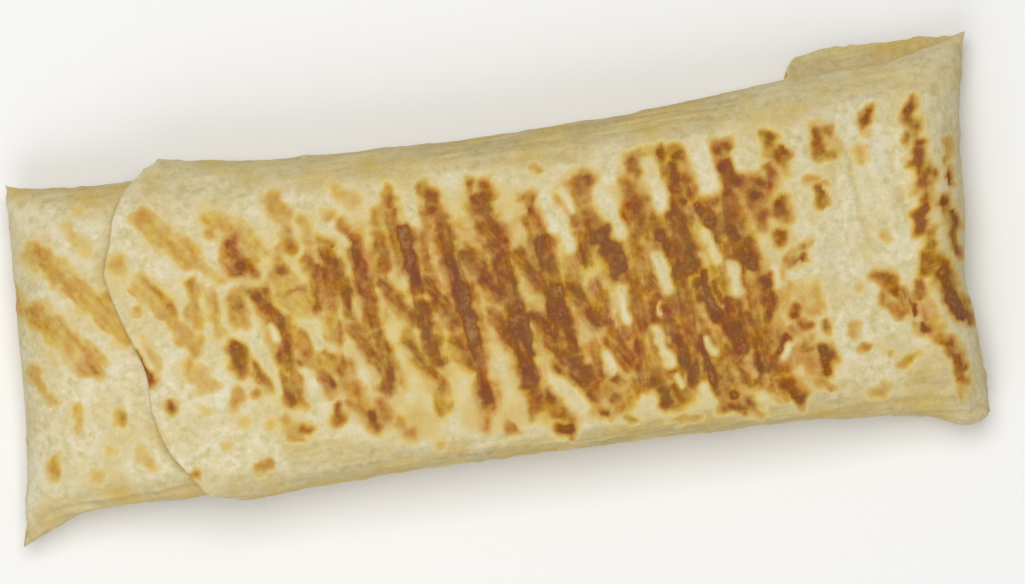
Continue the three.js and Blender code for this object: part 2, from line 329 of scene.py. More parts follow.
def along_seam(x, t):
    """Moves shares of the half width so that two rows stay on either side of the free edge."""
    settled = ease(x, SEAM["to"], SEAM["to"] + SEAM["settle"])
    at_row, next_row = UNDER_SHARE[SEAM_ROW], UNDER_SHARE[SEAM_ROW - 1]
    edge = seam_share(x) + (at_row - seam_share(x)) * settled
    past = edge + SEAM["width"] + (next_row - at_row - SEAM["width"]) * settled
    near = -1 + (t + 1) * (edge + 1) / (at_row + 1)
    far = 1 - (1 - t) * (1 - past) / (1 - next_row)
    return np.where(np.arange(len(t)) < SEAM_ROW, far, near)


def seam_step(x, t):
    """How much of the step's height the underside is higher there."""
    beyond = ease(t, seam_share(x), seam_share(x) + SEAM["width"])
    curled_up = 1 - ease(t, *SEAM["curled_up"])
    return beyond * curled_up * (1 - ease(x, SEAM["to"] - SEAM["fade"], SEAM["to"]))


print("the row that follows the free edge:", SEAM_ROW)

# %% [markdown]
# At a folded end the top and the underside meet in a mouth: the sheet curls down, rounds a lip and goes
# back in between. A ring that closes up to a line would give a sharp edge there, as on an envelope, so the
# last rings run round the lip and some millimetres into the mouth.

# %% One ring
MOUTH = {
    "lip": 2.3, "rings": 5, "shut": 0.94,  # the rounded lip, and how far it closes
    "deep": (1.5, 4.5), "shut_deep": 0.97,  # the rings behind it
    "wave": 1.5, "wave_length": 9,  # the line between the lips goes up and down
}


def lips(skin, x, y, t, curl, mouth):
    """The height of the line between the lips, and how thick the lips are."""
    wave = MOUTH["wave"] * np.sin(y / MOUTH["wave_length"] + 1) * (1 - t**2) * (1 - curl) * mouth
    return skin.lip(x) + wave, MOUTH["lip"] * (1 - t**4) * mouth


def ring(skin, place, curl=1.0, mouth=0.0, shut=0.0, seam=False):
    """A ring of points. place(t, side) is where it passes, curl how open it is, mouth how far the lips have
    formed, and shut how far they have closed."""
    typical, _ = rounded(TOP_ANGLE, TYPICAL["fullness"])
    x = place(typical, 1)
    fullness = np.where(typical > 0, follow(FAR_FULLNESS, x), follow(NEAR_FULLNESS, x))
    t, rise = rounded(TOP_ANGLE, fullness)
    x = place(t, 1)
    y = t * skin.side(x, t)
    middle, lip = lips(skin, x, y, t, curl, mouth)
    height = (skin.crown(x, y) - skin.lip(x)) * rise * curl
    top = np.stack([x, y, middle + np.hypot(height, lip) * (1 - shut)], axis=-1)

    t = UNDER_SHARE
    x = place(t, -1)
    if seam:
        t = along_seam(x, t)
        x = place(t, -1)
    y = t * skin.side(x, t)
    middle, lip = lips(skin, x, y, t, curl, mouth)
    depth = (skin.lip(x) - skin.base(x)) * curled_drop(t) * curl
    step = SEAM["step"] * seam_step(x, t) * curl if seam else 0
    under = np.stack([x, y, middle - np.hypot(depth, lip) * (1 - shut) + step], axis=-1)
    return np.concatenate([top, under])


middle_ring = ring(outer_skin, lambda t, side: t * 0)
print("height of the ring at x = 0:", (middle_ring[:, 2].max() - middle_ring[:, 2].min()).round(1))

# %% [markdown]
# A stretch of the tube is a row of such rings between two lines across the roll, and an end is a row of
# rings that close. Both are asked for by a function that says where a ring passes, for each share of the
# way across.

# %% Rows of rings
def between(start, finish, share):
    """Where a ring passes that lies that share of the way from one line across the roll to another."""
    return lambda t, side: start(t, side) * (1 - share) + finish(t, side) * share


def end_rings(skin, end, direction, count, seam=False, mouth=1.0):
    """The rings of an end: curling down, round the lips and into the mouth. direction is 1 at the folded
    end and -1 at the other."""
    rings = []
    for angle in np.linspace(math.pi / 2, 0, count + 1):
        out, up = rounded(angle, END_FULLNESS)
        place = lambda t, side, out=out: end(t) - direction * END_ROUND * (1 - out)
        rings.append(ring(skin, place, up, mouth * (1 - up) ** 0.5, seam=seam))
    if mouth:
        for angle in np.linspace(0, math.pi / 2, MOUTH["rings"])[1:]:
            back = MOUTH["lip"] * (1 - math.cos(angle))
            place = lambda t, side, back=back: end(t) - direction * back * (1 - t**4)
            rings.append(ring(skin, place, 0.0, mouth, shut=MOUTH["shut"] * math.sin(angle), seam=seam))
        for deep in MOUTH["deep"]:
            place = lambda t, side, deep=deep: end(t) - direction * (MOUTH["lip"] + deep) * (1 - t**4)
            rings.append(ring(skin, place, 0.0, mouth, shut=MOUTH["shut_deep"], seam=seam))
    return rings


print("rings in an end with a mouth:", len(end_rings(outer_skin, outer_skin.end, 1, 14)))

# %% [markdown]
# ## From rings to a mesh
#
# Faces run from each ring to the next, and the first and the last ring are closed by a strip between the
# top rows and the rows below. Blender could bridge the rings for us, but plain numbers give the same faces
# in the same order every time, and the first point of every ring stays the first.

# %% Faces between the rings
def tube_faces(count):
    """Four-sided faces between rings that are numbered one after another."""
    index = np.arange(count * RING).reshape(count, RING)
    ahead = np.roll(index, -1, axis=1)
    return np.stack([index[:-1], index[1:], ahead[1:], ahead[:-1]], axis=-1).reshape(-1, 4)


def closing_faces(first, flip):
    """Three-sided faces that close the ring whose first point has that number."""
    under = [TOP_ROWS + k for k in range(UNDER_ROWS)] + [0]
    top = [TOP_ROWS - k for k in range(TOP_ROWS + 1)]
    faces = []
    for k in range(UNDER_ROWS):
        faces.append((under[k], top[2 * k], top[2 * k + 1]))
        faces.append((under[k], top[2 * k + 1], under[k + 1]))
        faces.append((under[k + 1], top[2 * k + 1], top[2 * k + 2]))
    faces = [face[::-1] if flip else face for face in faces if len(set(face)) == 3]
    return [tuple(first + number for number in face) for face in faces]


print("faces between two rings:", len(tube_faces(2)), "and to close one:", len(closing_faces(0, True)))

# %% [markdown]
# What a point of the surface needs to know later is worked out once: its place, how far round the roll it
# lies, its share of the half width, and whether it is on top. The way round is measured along the skin, so
# that a blister on a steep side comes out as wide as one on top.

# %% Where each point is
def girth(points):
    """How far round the roll each point is from the middle of the top, in millimetres, far side positive."""
    step = np.linalg.norm(np.roll(points, -1, axis=1) - points, axis=2)
    top = np.concatenate([np.zeros((len(points), 1)), np.cumsum(step[:, :TOP_ROWS], axis=1)], axis=1)
    top = top - top[:, MIDDLE_ROW:MIDDLE_ROW + 1]
    below = np.cumsum(step[:, TOP_ROWS:], axis=1)
    far = top[:, -1:] + below[:, :-1]
    near = top[:, :1] - (below[:, -1:] - below[:, :-1])
    nearer_far = np.arange(UNDER_ROWS - 1) < UNDER_ROWS // 2
    return np.concatenate([top, np.where(nearer_far, far, near)], axis=1)


def measures(rings):
    """For each point of the rings: x, y, the way round, the share of the half width, and whether on top."""
    x = rings[..., 0]
    y = rings[..., 1]
    side = np.abs(y).max(axis=1, keepdims=True)
    top = np.broadcast_to(np.arange(RING) <= TOP_ROWS, x.shape)
    return x, y, girth(rings), y / side, top


around = girth(middle_ring[None])
print("girth of the roll at x = 0 in millimetres:", (around.max() - around.min()).round())

# %% [markdown]
# The relief is laid on by moving each point along its normal, the direction in which the surface faces
# there. Blender's displace modifier does the same with a texture. Here the heights are in an array already,
# so the points are moved before the mesh is made. Named numbers go with the points, for the material to
# read.

# %% Points to a mesh
def normals(points, faces):
    """The direction that the surface faces at each point."""
    corners = points[faces]
    facing = np.cross(corners[:, 2] - corners[:, 0], corners[:, 3] - corners[:, 1])
    total = np.zeros_like(points)
    for corner in range(4):
        np.add.at(total, faces[:, corner], facing)
    return total / np.maximum(np.linalg.norm(total, axis=1, keepdims=True), 1e-9)


def raised_tube(rings, relief):
    """The points of rings moved out by the relief, and the faces of the closed tube."""
    faces = tube_faces(len(rings))
    points = rings.reshape(-1, 3)
    points = points + normals(points, faces) * relief.reshape(-1, 1)
    points[:, 2] = np.maximum(points[:, 2], 0)  # the table holds the underside flat
    last_ring = (len(rings) - 1) * RING
    return points, faces.tolist() + closing_faces(0, True) + closing_faces(last_ring, False)


def smooth_piece(name, points, faces, fields):
    """A mesh object from points in millimetres, with a named number for each point."""
    mesh = bpy.data.meshes.new(name)
    mesh.from_pydata((points + shift) * MM, [], faces)
    for field, values in fields.items():
        mesh.attributes.new(field, "FLOAT", "POINT").data.foreach_set("value", values.astype(np.float32))
    mesh.shade_smooth()
    mesh.update()
    piece = bpy.data.objects.new(name, mesh)
    bpy.context.scene.collection.objects.link(piece)
    triangles = sum(len(face) - 2 for face in faces)
    print(f"{name}: {len(points)} points, {triangles} triangles")
    return piece


flat_square = np.array([(0, 0, 0), (1, 0, 0), (1, 1, 0), (0, 1, 0)], float)
print("a flat square faces:", normals(flat_square, np.array([(0, 1, 2, 3)]))[0])

# %% [markdown]
# ## Marks of the grill
#
# The ribs of the hot plates leave brown bars. They are what one sees first, so they decide whether the
# tacos looks real. A striped texture would be too even: a real rib touches the dough only where it bulges,
# and the roll was pressed twice, at two angles, so that bars cross. So each bar is a stroke, as a painter
# would lay it: from one place (x, y) to another, in millimetres, with a width and a heat. The heat goes
# from 0.3 for pale gold to 1 for deep brown. It drives the colour later, and it presses the surface in a
# little, as ribs do.
#
# The first strokes lie by the rim, where the ribs hardly touched. The next ones are on the left part, where
# the bars begin to cross.

# %% Strokes by the rim and on the left
RIM_STROKES = [
    (-108.2, 22.9, -107.2, 21.9, 4.5, 0.43), (-98.7, 34.8, -86.3, 21.3, 6.4, 0.48),
    (-83.3, 18.3, -79.4, 14.2, 2.2, 0.36), (-101.2, 15.4, -94.3, 7.3, 6, 0.52),
    (-94.3, 4.4, -90.3, -0.2, 4, 0.47), (-103.7, 8.4, -103.7, 8, 2.4, 0.43),
    (-103.2, 0.8, -100, -8, 1.6, 0.32), (-105.6, -3, -102.6, -11.4, 2, 0.82),
    (-87.3, 15.3, -87.3, 3.5, 2.8, 0.57), (-82.3, 10.3, -81.4, -0.2, 3, 0.5),
    (-90.8, -0.2, -89, -5, 4.5, 0.53), (-91, -8, -91, -13, 2.2, 0.43), (-88.5, -15, -87, -15, 2.4, 0.43),
    (-98, -19.5, -98, -19, 3.4, 0.84), (-103.5, -26, -103.2, -26.4, 2, 0.29),
    (-88, -22, -87.6, -22.3, 1.8, 0.29), (-77.4, -27, -76.9, -27.4, 2.2, 0.28),
    (-95.5, -40, -94.5, -40, 2, 0.53),
]
LEFT_STROKES = [
    (-80, 32.9, -70, 25.6, 5, 0.4), (-71.4, 26.4, -66.4, 21.6, 2.4, 0.44),
    (-79.9, 28.3, -79.6, 27.3, 2.6, 0.52), (-74.8, 22.7, -73.4, 16.7, 6, 0.79),
    (-72.6, 17.8, -72, 16.6, 4, 0.85), (-70.4, 18.2, -68.9, 14.2, 3, 0.62),
    (-69, 23.2, -68.5, 19.2, 2.2, 0.44), (-69.4, 25.2, -64.5, 20.2, 1.4, 0.36),
    (-75, 7.8, -74.8, 6.8, 2.8, 0.71), (-75.4, 8.2, -75.4, 2.5, 5.5, 0.55),
    (-72.9, 10.2, -72.4, 10, 1.8, 0.52), (-69, 8.8, -66, 3.8, 4.6, 0.79),
    (-66, 3.8, -61.5, -3, 5.4, 0.79), (-66, 9.2, -65, 5.7, 2.6, 0.66),
    (-62.3, 14.9, -61.1, 14.6, 1.7, 0.75), (-62.5, 10.1, -56.5, 4.2, 9, 0.42),
    (-62, 8.1, -58.5, 7.9, 1.3, 0.58), (-57.5, 8.1, -55.1, 8.1, 1.4, 0.55),
    (-58.5, 24.6, -57.3, 19.6, 3.8, 0.62), (-61.5, 21.1, -62, 17.1, 1.3, 0.48),
    (-52.6, 27, -52.2, 21.5, 3.4, 0.51), (-60.5, 34.6, -59, 30.6, 6, 0.46),
    (-53.4, 16.8, -52.8, 14.2, 3.8, 0.7), (-51.6, 13.5, -51.4, 2.4, 2.3, 0.8),
    (-47.6, 21, -45.6, 19.8, 3, 0.85), (-47.6, 17.5, -48.2, 3.2, 6, 0.75), (-46, 14, -45.6, 8, 2, 0.85),
    (-45.4, 29, -45, 29, 2.2, 0.52), (-48.2, 2.4, -48, -6, 5.5, 0.64), (-76.8, -6, -76.3, -11, 4.8, 0.87),
    (-77, -10, -76, -13, 4.4, 0.73), (-71.4, -11, -70.2, -16, 3.6, 0.71),
    (-70.2, -16, -69.8, -18.4, 2.4, 0.52), (-73.4, -14, -71.4, -17, 1.8, 0.52),
    (-78.4, -19, -80.3, -22.3, 2.3, 0.55), (-73, -19.7, -72.8, -19.7, 1.1, 0.66),
    (-64.1, -0.2, -62.5, -12, 6, 0.71), (-64.3, -7, -64.1, -11, 1.6, 0.83),
    (-65.9, -15, -64.1, -20, 2.2, 0.66), (-64.5, -19.5, -62.5, -23.8, 3.2, 0.79),
    (-61.1, -12, -60.7, -23.5, 3, 0.56), (-57.9, -5, -56.7, -9, 4.6, 0.64),
    (-58.5, -12, -51.1, -20.5, 4.8, 0.7), (-51.6, -19.5, -50.6, -21, 2.6, 0.81),
    (-53.1, -12, -47.2, -16, 6, 0.58), (-48.2, -19, -46.1, -23, 3.4, 0.55),
    (-50.1, -26.5, -50.6, -30, 2.4, 0.75), (-46.1, -26, -41.7, -30, 3.6, 0.56),
    (-41.7, -30, -40.2, -33.5, 3, 0.77), (-38.2, -28, -37.2, -31, 3.6, 0.47),
    (-66.1, -29, -65.5, -29.4, 2.3, 0.53), (-64.3, -31.5, -62.5, -32.4, 4.4, 0.42),
    (-65, -33.6, -62.5, -34.2, 1.6, 0.58), (-61.3, -31.6, -59.5, -32, 2.6, 0.66),
    (-70.2, -28.8, -70, -29, 1.4, 0.38), (-75.2, -40.5, -72.8, -40.4, 2.3, 0.56),
    (-30.7, -37, -30.3, -37, 2, 0.47), (-33.7, -34, -33.5, -34, 1.4, 0.4),
    (-84, -33, -83.6, -33, 1.4, 0.3),
]
print("strokes:", len(RIM_STROKES) + len(LEFT_STROKES))

# %% [markdown]
# In the middle the roll is thickest, so the bars there are long and even. To the right of it they get
# darker and break up into short blotches, because the filling's lumps carried the plate there.

# %% Strokes in the middle and on the right
MIDDLE_STROKES = [
    (-41.7, 34.9, -38.7, 31.9, 4.6, 0.36), (-42.2, 24.9, -41.3, 21.9, 2.5, 0.66),
    (-39.3, 19.9, -38.1, 10.9, 4.4, 0.95), (-44, 12.9, -43.6, -0.3, 3, 0.76),
    (-37.9, 8.9, -36.7, -4, 5, 0.84), (-36.3, -8, -35.1, -22, 4.6, 0.76),
    (-31.7, 26.8, -31.5, 23.8, 2.6, 0.66), (-31.9, 20.8, -31.3, 10.8, 4.2, 0.74),
    (-27.4, 32.8, -28, 28.4, 2.6, 0.72), (-28, 27.8, -27.2, 12.8, 3, 0.6),
    (-24.8, 20.8, -23.8, 12.8, 4.4, 0.99), (-23.8, 12.8, -22.4, 3.1, 4.6, 0.92),
    (-22.2, -1.2, -20.8, -18, 5.2, 0.84), (-20.4, -23, -19.8, -31, 4, 0.66),
    (-17.8, 32.7, -15.9, 29.7, 3.8, 0.66), (-15.3, 29.1, -15.5, 26.7, 5, 0.86),
    (-14.5, 26.1, -13.5, 18.7, 4.6, 0.66), (-17.6, 24.7, -16.8, 21.7, 2, 0.6),
    (-19.8, 18.7, -18.8, 8.7, 3.6, 0.55), (-13.3, 17.7, -11.5, 3.8, 5.6, 0.84),
    (-10.7, 1.3, -9.3, -13.1, 6, 0.92), (-8.9, -16.1, -7.9, -30.2, 5, 0.78),
    (-3.9, 31.6, -3.7, 27.6, 3, 0.7), (0.2, 31, 0.8, 26.6, 3.4, 0.74), (-1.6, 26.6, 1.6, 12.5, 6.4, 0.78),
    (2, 9.5, 4, -6.3, 6.4, 0.9), (4.4, -9.3, 5.6, -26.3, 6.6, 0.96), (6, -30.3, 6.4, -35.3, 4.4, 0.76),
    (-2.6, -40.2, -0.6, -40.2, 2.6, 0.6), (-9.5, -38.7, -8.9, -38.5, 1.6, 0.36),
    (-22.8, -43, -22.2, -43, 2, 0.36), (-43.2, -5, -36.1, -16, 4.4, 0.7),
    (-32.7, 6.8, -25.4, -5, 4.4, 0.74), (-19.8, 4.8, -13.3, -8.1, 4.6, 0.8),
    (-27.8, -10, -21.2, -22, 4, 0.68), (-6.9, 11.6, 0.6, -2.3, 4.6, 0.8),
    (-13.9, -13.1, -7.3, -25.2, 4.2, 0.74), (-1, -8.2, 5.6, -21.3, 5, 0.84),
    (12.2, 24.9, 12.4, 21.1, 3.4, 0.76), (12.3, 19.5, 13.1, 13.5, 5.8, 0.6),
    (13.9, 12.4, 15.5, -0.7, 6, 0.86), (15.9, -2.5, 17.9, -19.5, 7, 0.94), (7, 9.5, 13.5, -3.4, 4.6, 0.8),
    (9.6, -9.4, 15.3, -20.4, 4.8, 0.84), (21.5, -1.7, 26.8, -12.5, 5, 0.84),
    (14.7, 34.4, 16.7, 33.2, 2, 0.5),
]
RIGHT_STROKES = [
    (27.2, 28, 27.4, 23.4, 5.6, 0.68), (29.4, 28.8, 29.6, 25.4, 1.8, 0.76),
    (28.8, 30.4, 29.8, 29.4, 2.4, 0.5), (22.5, 23.4, 22.3, 21.4, 2.6, 0.36),
    (24.8, 18.4, 25.1, 16, 1.9, 0.6), (28.4, 20.4, 28.8, 16.8, 2.8, 0.66),
    (29, 15.4, 29.4, 10.4, 4.8, 0.8), (25.8, 12.4, 25.8, 5.4, 4.8, 0.66), (21.3, 7.4, 22.3, 0.1, 4, 0.66),
    (31.8, 12.4, 32.2, 7.4, 4.2, 1), (32.4, 6.4, 34.2, 1, 4, 0.94), (36.2, 8, 36.2, 1.8, 2.8, 0.95),
    (34.2, 7.4, 34.6, 1.8, 2.4, 1), (43.3, 31.4, 44.1, 29.4, 2.8, 0.8), (47.3, 32.6, 47.7, 32.2, 2, 0.6),
    (45.1, 33.6, 51.6, 34.4, 1.4, 0.42), (40.7, 25.6, 41.7, 24.4, 2.4, 0.5),
    (41.3, 22, 41.9, 20.4, 4.8, 0.86), (42.7, 19, 43.7, 14.4, 4.8, 0.8),
    (40.7, 16.4, 41.7, 0.1, 4.8, 0.66), (41, 9.8, 41.3, 6.4, 2.4, 0.76),
    (46.5, 14.4, 48.1, 9.4, 4.2, 0.98), (48.3, 9.4, 50.6, 3.6, 4.2, 0.93),
    (44.1, 11.4, 43.7, 1, 2.6, 0.62), (27.6, -2.6, 28.8, -12.5, 3, 0.68), (30, -12.5, 30, -16.5, 2, 0.76),
    (33.2, -0.8, 34.8, -5.1, 3, 0.76), (38.7, -0.8, 38.7, -15.5, 5.6, 0.72),
    (36.4, -14.5, 37.3, -20.1, 2.6, 0.56), (43.9, -7.5, 43.3, -14.1, 1.8, 0.86),
    (43.5, -14.5, 45.7, -19.5, 1.8, 0.84), (46.1, -6.9, 48.7, -10.5, 2, 0.82),
    (47.3, -11.5, 48.7, -18.5, 3.4, 0.86), (48.7, -20.1, 50.6, -28.5, 4.8, 0.86),
    (31.8, -17.5, 34, -25.1, 4.8, 0.82), (29.2, -19.1, 31, -24.5, 1.5, 0.8),
    (37.7, -20.5, 38.1, -26.5, 4, 0.86), (38.1, -27.5, 37.7, -33.5, 4.8, 0.76),
    (17.5, -21.9, 20.9, -27.5, 6.8, 0.86), (21.9, -26.5, 21.9, -32.5, 6, 0.9),
    (22.3, -33.5, 22.7, -34.5, 4, 0.94), (14.3, -24.4, 17.5, -29.9, 1.8, 0.8),
    (24.8, -20.5, 25.4, -27.5, 3, 0.7), (11.3, -31.4, 11.3, -37.4, 4, 0.72),
    (13.3, -37, 13.5, -39.4, 3.8, 0.78), (11.9, -41.8, 13.5, -42.4, 4, 0.92),
    (24.8, -39.1, 26, -39.3, 2.3, 0.85), (27.8, -36.1, 30, -35.5, 2.8, 0.7),
    (27.2, -31.5, 27.8, -34.5, 3.8, 0.64), (29.4, -30.1, 30.6, -30.1, 1.6, 0.76),
    (31.4, -41.5, 32.8, -42.5, 2.6, 0.54), (35.2, -31.5, 34.8, -34.1, 3, 0.66),
    (36.1, -37.9, 36.4, -38.3, 1.1, 0.4), (41.7, -31.1, 43.1, -33.5, 5.6, 0.86),
    (42.7, -36.5, 43.7, -39.5, 4.6, 0.9), (45.7, -34.1, 47.7, -37.9, 3.8, 0.86),
    (45.3, -40.7, 47.1, -40.5, 1, 0.6), (47.1, -31.9, 47.4, -32.3, 1.4, 0.7),
    (45.3, -44.5, 51.6, -44.8, 1.2, 0.54),
]
print("strokes:", len(MIDDLE_STROKES) + len(RIGHT_STROKES))

# %% [markdown]
# The darkest bars are those before the roll gets thinner. A bar that is wide here and narrow there takes
# several strokes. They may overlap, because where two of them meet, the hotter one counts.

# %% The darkest strokes
DARK_STROKES = [
    (51, 33.4, 51.2, 26.8, 2.4, 0.78), (52, 33.2, 56.2, 32.4, 2.8, 0.64), (56.6, 31, 58.2, 30, 3.4, 0.88),
    (54.2, 27.8, 54.2, 24.4, 4, 0.9), (57.2, 25.4, 58.2, 23.4, 2.8, 0.7), (55.6, 21, 56.2, 19, 3.6, 0.92),
    (54.6, 23.4, 55, 16.4, 4, 0.8), (53, 18.4, 53, 15.4, 2, 0.76), (54.4, 15.4, 55.2, 0.1, 7.6, 0.82),
    (56, 8.4, 56, 4.5, 3, 0.86), (50.6, 6.4, 50.2, 1, 2.8, 0.86), (60.6, 19.6, 60.8, 19.2, 1.8, 0.5),
    (61, 15.4, 63.2, 11.4, 5, 1), (63.2, 11, 64.3, 5.4, 3.4, 0.96), (59.8, 14.8, 63.9, 5.4, 1.4, 0.94),
    (67.5, 32.8, 67.7, 30.8, 2.4, 0.76), (70.5, 32.4, 72.1, 30.6, 3.8, 0.86),
    (68.5, 26.7, 69.5, 24.8, 3.8, 0.83), (70.5, 27.2, 71.5, 21.5, 3.8, 0.85),
    (72.9, 22, 73.5, 20.1, 2.4, 0.7), (68.5, 23.7, 68.5, 17.7, 2.8, 0.8),
    (68.9, 16.7, 69.5, 10.8, 5.8, 0.88), (69.5, 9.2, 69.9, 5.8, 4, 1), (70.3, 3.9, 71.5, -0.6, 6.6, 0.88),
    (66.1, 4, 67.1, 1.1, 2.8, 0.76), (72.5, 4.1, 74.1, -0.6, 2.3, 0.94),
    (65.7, 12.5, 66.1, 6.5, 1.9, 0.76), (77.2, 22.9, 79.2, 19.9, 3.8, 0.86),
    (75.7, 17.6, 78, 16.4, 3.8, 0.85), (75.9, 14.6, 76.5, 12.3, 1.8, 0.7),
    (77.8, 11.4, 78.4, 8.2, 2.8, 0.86), (82.8, 33.9, 83, 31.1, 3.3, 0.76),
    (83.4, 28.7, 85.4, 26.1, 3.8, 0.73), (86.6, 29.5, 87, 27.5, 1.9, 0.8),
    (86.8, 24.5, 86.6, 22.5, 1.8, 0.48), (82, 24.5, 81.4, 19.5, 2.4, 0.7),
    (81, 18.5, 80.8, 16.5, 2.6, 0.48), (83.2, 13.9, 83.6, 11.9, 3.8, 0.93),
    (85.4, 9.7, 85.4, 9.1, 2.1, 0.6), (82.6, 4.5, 83, 3.5, 3.8, 0.89),
    (52.2, -0.8, 52.6, -16.5, 5.8, 0.76), (51.6, -15.5, 52.6, -25.5, 4.6, 0.82),
    (52.6, -25.5, 51.8, -33.5, 4.4, 0.8), (56.6, -4.5, 57, -9.5, 2.8, 0.76),
    (58.4, -3.5, 59.6, -10.5, 2.6, 0.94), (59.6, -10.5, 61.2, -16.5, 2.8, 0.94),
    (61.2, -16.5, 63.5, -21.5, 3, 0.94), (62.2, -6.5, 63, -12.5, 2.3, 0.86),
    (60.6, -7.5, 61, -11.5, 2, 0.7), (56.6, -17.1, 57.6, -20.5, 2.8, 0.6),
    (55.2, -21.5, 56.6, -26.5, 3, 0.92), (56.6, -26.5, 57.6, -34.1, 3.4, 0.94),
    (57.6, -34.1, 58.2, -38.9, 2.2, 0.84), (65.5, -12.5, 66.5, -18.5, 6, 0.88),
    (66.5, -18.5, 66.5, -25.5, 6.8, 0.93), (66.5, -27.5, 65.5, -31.5, 4, 0.82),
    (69.9, -17.5, 71.5, -25.5, 4, 0.84), (71.5, -25.5, 72.5, -32.5, 4.8, 0.9),
    (60.6, -21.5, 61.6, -31.5, 3, 0.52), (70.5, -0.7, 70.5, -6.5, 1.9, 0.76),
    (72.9, -1.2, 73.1, -3.5, 2.8, 0.93), (71.9, -7.5, 72.5, -18.5, 4.8, 0.5),
    (75.9, -7.5, 76.1, -8.5, 4.4, 1), (75.1, -7.3, 78.4, -6.5, 3.4, 0.84),
    (75.1, -10.5, 75.5, -14.5, 2.4, 0.76), (78, -11.5, 76.5, -17.9, 3.4, 0.8),
    (76.5, -19.5, 75.5, -28.5, 5.6, 0.5), (79.8, -25.1, 77.4, -28.5, 1.3, 0.9),
    (77.4, -28.5, 75.5, -30.5, 1.2, 0.84), (74.9, -32.5, 75.9, -32.9, 2.2, 0.72),
    (78.4, -33.5, 78.8, -33.9, 2, 0.74), (69.5, -36.5, 75.5, -38.1, 2.8, 0.68),
    (77.4, -38.5, 79.4, -37.5, 3.8, 0.86), (79.4, -40.1, 82.4, -43.1, 3.6, 0.92),
    (61.2, -35.1, 62.2, -35.9, 2.8, 0.66), (62.4, -39.3, 62.8, -39.7, 3.1, 0.96),
    (61.6, -42.5, 65.5, -44.1, 3.2, 0.8), (67.5, -41.9, 68.5, -44.5, 2.8, 0.7),
    (50.2, -44.7, 51.2, -44.8, 1.6, 0.5),
]
print("strokes:", len(DARK_STROKES))

# %% [markdown]
# Beyond the dark bars the plate touched only a few high places, which are small spots, and at last the
# thick folded end, with two uneven bars across it. Both kinds are made of short strokes like the others.

# %% Strokes near the folded end
PALE_END_STROKES = [
    (83.9, -16.1, 83.7, -19.5, 1.5, 0.75), (85.4, -21.5, 86.4, -21.7, 4, 0.66),
    (81.4, -22.5, 81.8, -22.9, 2.4, 0.55), (82.4, -13.5, 89.4, -15.5, 8, 0.36),
    (88, -18.5, 89, -18.9, 3.4, 0.44), (85.6, -28.9, 86.4, -29.1, 3, 0.7),
    (90.3, -29.5, 90.7, -36.1, 4.4, 0.88), (92.3, -31.1, 92.7, -31.9, 2.4, 0.88),
    (84.4, -31.5, 87.4, -35.5, 3.8, 0.54), (89, -39.1, 91.3, -41.5, 2.4, 0.52),
    (84.2, -2.9, 85.4, -2.7, 3.8, 0.65), (87.8, -2.7, 88.1, -2.9, 2.8, 0.86),
    (96.9, 32.9, 97.1, 30.5, 2.1, 0.84), (97.1, 29.5, 97.3, 26.5, 3.2, 0.86),
    (96.3, 25.5, 99.7, 25.5, 2.8, 0.72), (97.3, 32.5, 100.3, 27.5, 7, 0.38),
    (100.3, 32.9, 100.3, 31.9, 2.3, 0.8), (92.3, 19.5, 95.3, 18.9, 2, 0.5),
    (95.5, 16.3, 95.7, 15.5, 2, 0.86), (96.3, 14.5, 96.3, 11.9, 2.1, 0.8),
    (97.7, 17.9, 97.9, 17.1, 1.8, 0.48), (112.1, 36.1, 111.7, 34.9, 3, 0.84),
    (111.4, 32.9, 111.2, 30.5, 1.6, 0.28), (108.7, 26.5, 108.7, 23.1, 1, 0.46),
    (90.3, -12.5, 90.9, -16.5, 3.6, 0.46), (112.2, 0.3, 112.5, 0.3, 1.6, 0.4),
    (102.3, -30.9, 103.1, -31.1, 2.3, 0.7), (99.5, -24.1, 99.3, -25.9, 2.2, 0.5),
    (91.9, -22.1, 92.1, -23.9, 1.6, 0.66), (112.2, -38.3, 113.2, -37.9, 2.3, 0.56),
    (114.6, -36.9, 116, -35.7, 1.8, 0.6), (109.2, -33.5, 109.4, -33.5, 1.6, 0.38),
    (103.6, -44.5, 104.6, -44.6, 1.9, 0.6), (106.5, -42.8, 106.8, -42.9, 1.5, 0.46),
    (102.7, -13.5, 103, -13.5, 2, 0.32), (90.9, 50.9, 91.1, 50.9, 1.6, 0.6),
]
